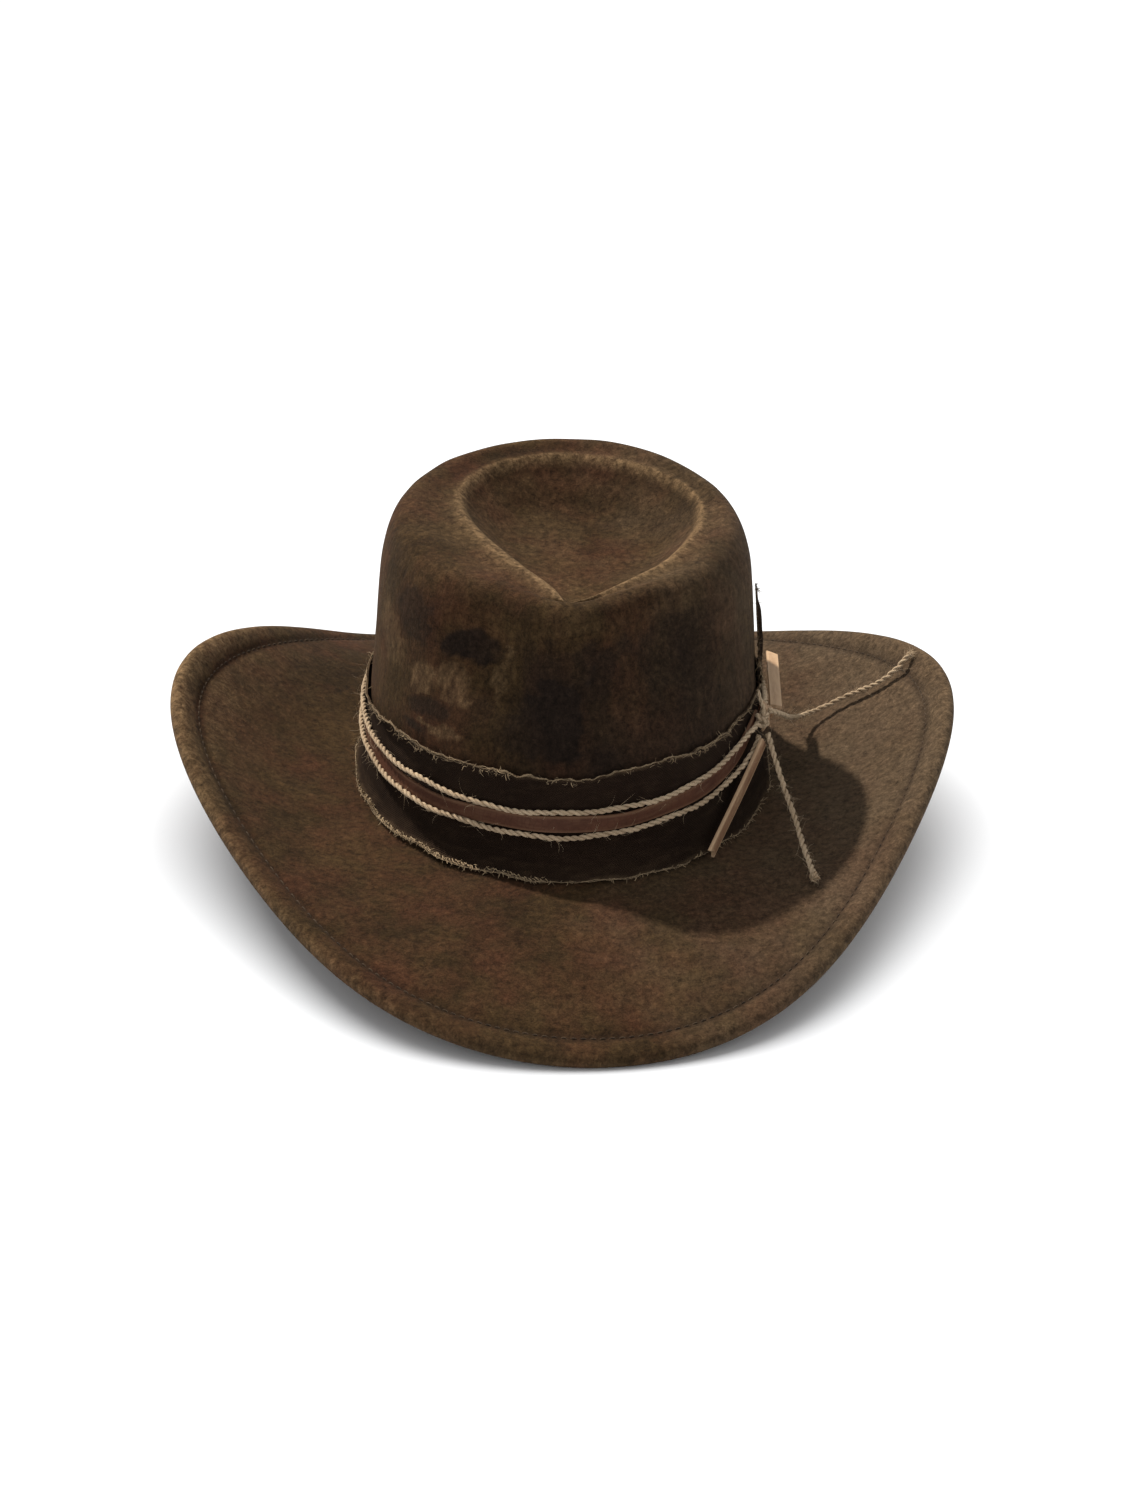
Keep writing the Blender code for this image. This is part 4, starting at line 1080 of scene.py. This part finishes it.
def build_twine(jute, hairs):
    """Two strands round the crown, their knot and their two loose ends."""
    theta = arc(KNOT_DEG + 2.4, KNOT_DEG + 357.6, 700)
    fuzz = Soup()
    strands = ("twine_strand_upper", "twine_upper", 1), ("twine_strand_lower", "twine_lower", -1)
    for name, node, side in strands:
        path = twine_line(theta, side)
        soup = Soup()
        twine(soup, path, TWINE_R)
        hat_piece(soup, name, jute, "jute", node)
        stray_fibres(fuzz, path, TWINE_R, 230)
        stray_fibres(fuzz, path[300:460], TWINE_R, 90)
    axes = knot_axes(KNOT_DEG, TWINE_KNOT_OFF, TWINE_KNOT_LIFT)
    soup = Soup()
    twine(soup, overhand(axes[0], axes[1:], np.array([2.4, 3.0, 2.0]) * MM), 1.05 * MM, 6 * MM)
    line = from_knot(axes, ((1.5, 0.6, 0), (5.0, 0.2, 0.4), (9.0, -1.6, 0.8), (12.5, -2.6, 0.9)))
    twine(soup, curve_through(line, 30), 0.8 * MM, 5 * MM, loosen=0.5)
    hat_piece(soup, "twine_tie_knot", jute, "jute", "twine_knot")
    stray_fibres(fuzz, line, 0.9 * MM, 30, (2, 5))
    hat_piece(fuzz, "twine_strand_fuzz", hairs, "jute")

    path = curve_through(from_break(SIDE_TAIL), 120)
    soup, fuzz = Soup(), Soup()
    twine(soup, path, TWINE_R, loosen=0.35)
    tail = hat_piece(soup, "twine_end_side", jute, "jute", "twine_tail_side", body="twine_side")
    stray_fibres(fuzz, path, TWINE_R, 90)
    brush(fuzz, path, 46, 5.0)
    fuzz = hat_piece(fuzz, "twine_end_side_fuzz", hairs, "jute", body="twine_side")

    path = curve_through(from_break(FRONT_TAIL), 80)
    soup, fuzz, ending = Soup(), Soup(), Soup()
    twine(soup, path, TWINE_R, loosen=0.25)
    tail = hat_piece(soup, "twine_end_front", jute, "jute", "twine_tail_front", body="twine_front")
    stray_fibres(fuzz, path, TWINE_R, 110, (3, 8))
    brush(fuzz, path, 40, 3.5)
    fuzz = hat_piece(fuzz, "twine_end_front_fuzz", hairs, "jute", body="twine_front")
    ahead, side, up = (v[-1] for v in frames(path))
    knot = overhand(path[-1] - ahead * 1.5 * MM, (side, up, ahead), np.array([1.4, 1.4, 1.6]) * MM, 60)
    twine(ending, knot, 0.75 * MM, 5 * MM)
    ending.shade = [s - 0.35 for s in ending.shade]
    ending = hat_piece(ending, "twine_end_front_knot", jute, "jute", body="twine_front")


def brush(soup, path, count, length):
    """Frayed fibres opening out of a strand's end."""
    ahead = unit(path[-1] - path[-4])
    for _ in range(count):
        root = path[-1] - ahead * RNG.uniform(0.5, 3) * MM + RNG.normal(size=3) * 0.45 * MM
        way = ahead + RNG.normal(size=3) * 0.4
        hair(soup, root, way, RNG.uniform(0.5, 1) * length * MM, RNG.uniform(0.05, 0.11) * MM, 0.6)


# ---- inside of the hat
def build_inside(sweat, lining, ribbon, reed, thread):
    """Sweatband with its reed and stitches, the lining and the little bow."""
    theta = np.linspace(0, 2 * math.pi, 240, endpoint=False)
    soup = Soup()
    rise = np.linspace(1.2, 36, 26)
    lip = 0.35 * ramp(rise, 33, 3) ** 2
    mid = np.array([crown_point(theta, z * MM, (-2.0 - out) * MM) for z, out in zip(rise, lip)])
    tone = np.zeros(mid.shape[:2])
    tone[0], tone[-1] = 0.7, 0.9
    shell(soup, mid, 1.0 * MM, True, tone)
    hat_piece(soup, "leather_sweatband", sweat, "sweatband_leather", "sweatband")

    soup = Soup()
    path = crown_point(np.linspace(0, 2 * math.pi, 361), -0.2 * MM, -1.9 * MM)
    tube(soup, path, 1.0 * MM, 12)
    hat_piece(soup, "sweatband_reed_cord", reed, "reed_plastic", "sweatband_reed")

    # whipping over the reed, the running stitch above it and the seam at the back
    soup = Soup()
    turn = np.array([-1.5, -0.7, 0.3, 1.3])
    wrap_off, wrap_z = (-1.9 - 1.12 * np.cos(turn)) * MM, (-0.2 - 1.12 * np.sin(turn)) * MM
    for deg in np.arange(150) * 360 / 150:
        path = crown_point(arc(deg, deg + 1.5, 4), wrap_z, wrap_off)
        tube(soup, curve_through(path, 8), 0.16 * MM, 5, RNG.uniform(-0.2, 0.2))
    sink = np.array([-0.25, 0.1, 0.16, 0.1, -0.25])
    for deg in np.arange(170) * 360 / 170:
        path = crown_point(arc(deg, deg + 1.35, 5), 4.6 * MM, (-2.5 - sink) * MM)
        tube(soup, path, 0.17 * MM, 5, RNG.uniform(-0.2, 0.2))
    rise, sink = np.array([0, 0.3, 0.9, 1.2]), np.array([-0.2, 0.16, 0.16, -0.2])
    for z in np.arange(3, 34, 2.6):
        path = crown_point(np.radians([88.6, 89.3, 90.7, 91.4]), (z + rise) * MM, (-2.5 - sink) * MM)
        tube(soup, path, 0.18 * MM, 5)
    hat_piece(soup, "sweatband_stitches", thread, "sweatband_leather")

    soup = Soup()
    pleat = 0.30 * (0.5 + 0.5 * np.sin(60 * theta + 2 * np.sin(5 * theta)))
    grid = []
    for z in np.linspace(LINING_LOW, LINING_TOP, 22):
        fold = pleat * (0.3 + 0.7 * ramp(z, LINING_LOW, LINING_TOP - LINING_LOW))
        grid.append(crown_point(theta, z * MM, (-2.25 - fold) * MM))
    shell(soup, np.array(grid), 0.5 * MM, True)
    side = hat_piece(soup, "lining_wall", lining, "lining_cloth", "lining_side")

    rim = crown_point(theta, 84.7 * MM, -3.2 * MM)
    heart = rim.mean(0)
    grid = []
    for r in np.linspace(1.0, 0.02, 30):
        ring = heart + (rim - heart) * r
        ring[:, 2] -= (1.2 * (1 - r ** 2) + 0.25 * np.sin(36 * theta) * r ** 3) * MM
        grid.append(ring)
    soup = Soup()
    shell(soup, np.array(grid), 0.5 * MM, True)
    ring = np.array(grid[-1])
    soup.add(ring, [tuple(range(len(ring)))])
    tip = hat_piece(soup, "lining_crown_tip", lining, "lining_cloth", "lining_tip")

    centre, side, up, out = crown_axes(90.0, 7 * MM, -4.2 * MM)
    soup = Soup()
    for sign in (-1, 1):
        line = [centre + side * sign * a * MM - out * (b + 0.008 * a * a) * MM for a, b in
                ((0.8, -0.25), (4, -0.75), (8, -0.6), (10.6, 0.05), (8, 0.7), (4, 0.75), (0.8, 0.25))]
        path = curve_through(np.array(line), 40)
        spread = 0.45 + 0.55 * np.sin(np.linspace(0, math.pi, 40)) ** 0.6
        strap(soup, path, np.cross(unit(np.gradient(path, axis=0)), up), 6.6 * MM * spread, 0.35 * MM)
    turn = np.linspace(0, 2 * math.pi, 26)
    ring = centre + np.outer(np.cos(turn), up) * 2.3 * MM + np.outer(np.sin(turn), out) * 1.0 * MM
    strap(soup, ring, unit(ring - centre), 3.0 * MM, 0.4 * MM)
    bow = hat_piece(soup, "ribbon_bow", ribbon, "bow_ribbon", "sweatband_bow")


# ---- run
def main():
    """Build every piece; the random draws follow this order."""
    build_stage()
    jute, hairs = jute_look(), thread_look("jute_fibre", (0.28, 0.19, 0.11), (0.80, 0.64, 0.44))
    thread = thread_look("frayed_thread", (0.06, 0.038, 0.022), (0.42, 0.31, 0.19))
    cloth = cloth_look()
    build_felt(felt_look(), thread_look("brim_thread", (0.020, 0.012, 0.008), (0.090, 0.058, 0.034)))
    build_band(cloth, thread)
    build_flap(cloth, thread)
    # the thong round the crown takes a darker copy of the leather and the tails and knot a paler one: partly
    # painted shade and painted light
    build_leather(
        leather_look("thong_leather", (0.064, 0.024, 0.013), (0.104, 0.041, 0.022), (0.18, 0.095, 0.053)),
        leather_look("thong_leather_pale_lit", (0.22, 0.115, 0.064), (0.36, 0.205, 0.118), (0.56, 0.38, 0.23)))
    build_twine(jute, hairs)
    sweat = (0.10, 0.055, 0.03), (0.16, 0.09, 0.05), (0.24, 0.15, 0.09)
    build_inside(leather_look("sweatband_leather", *sweat, 0.45, 0.8),
                 ribbed_look("lining_satin", (0.050, 0.036, 0.024), (0.085, 0.062, 0.042), 0.5 * MM, 0.1),
                 ribbed_look("bow_ribbon", (0.020, 0.012, 0.008), (0.045, 0.027, 0.018), 0.6 * MM, 0.1),
                 ribbed_look("reed_cover", (0.05, 0.03, 0.02), (0.09, 0.06, 0.04), 0.7 * MM, 0.1), thread)
    steel = steel_look()
    for node in ("brim_wire", "wire_joiner"):
        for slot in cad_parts[node].material_slots:
            slot.material = steel


main()
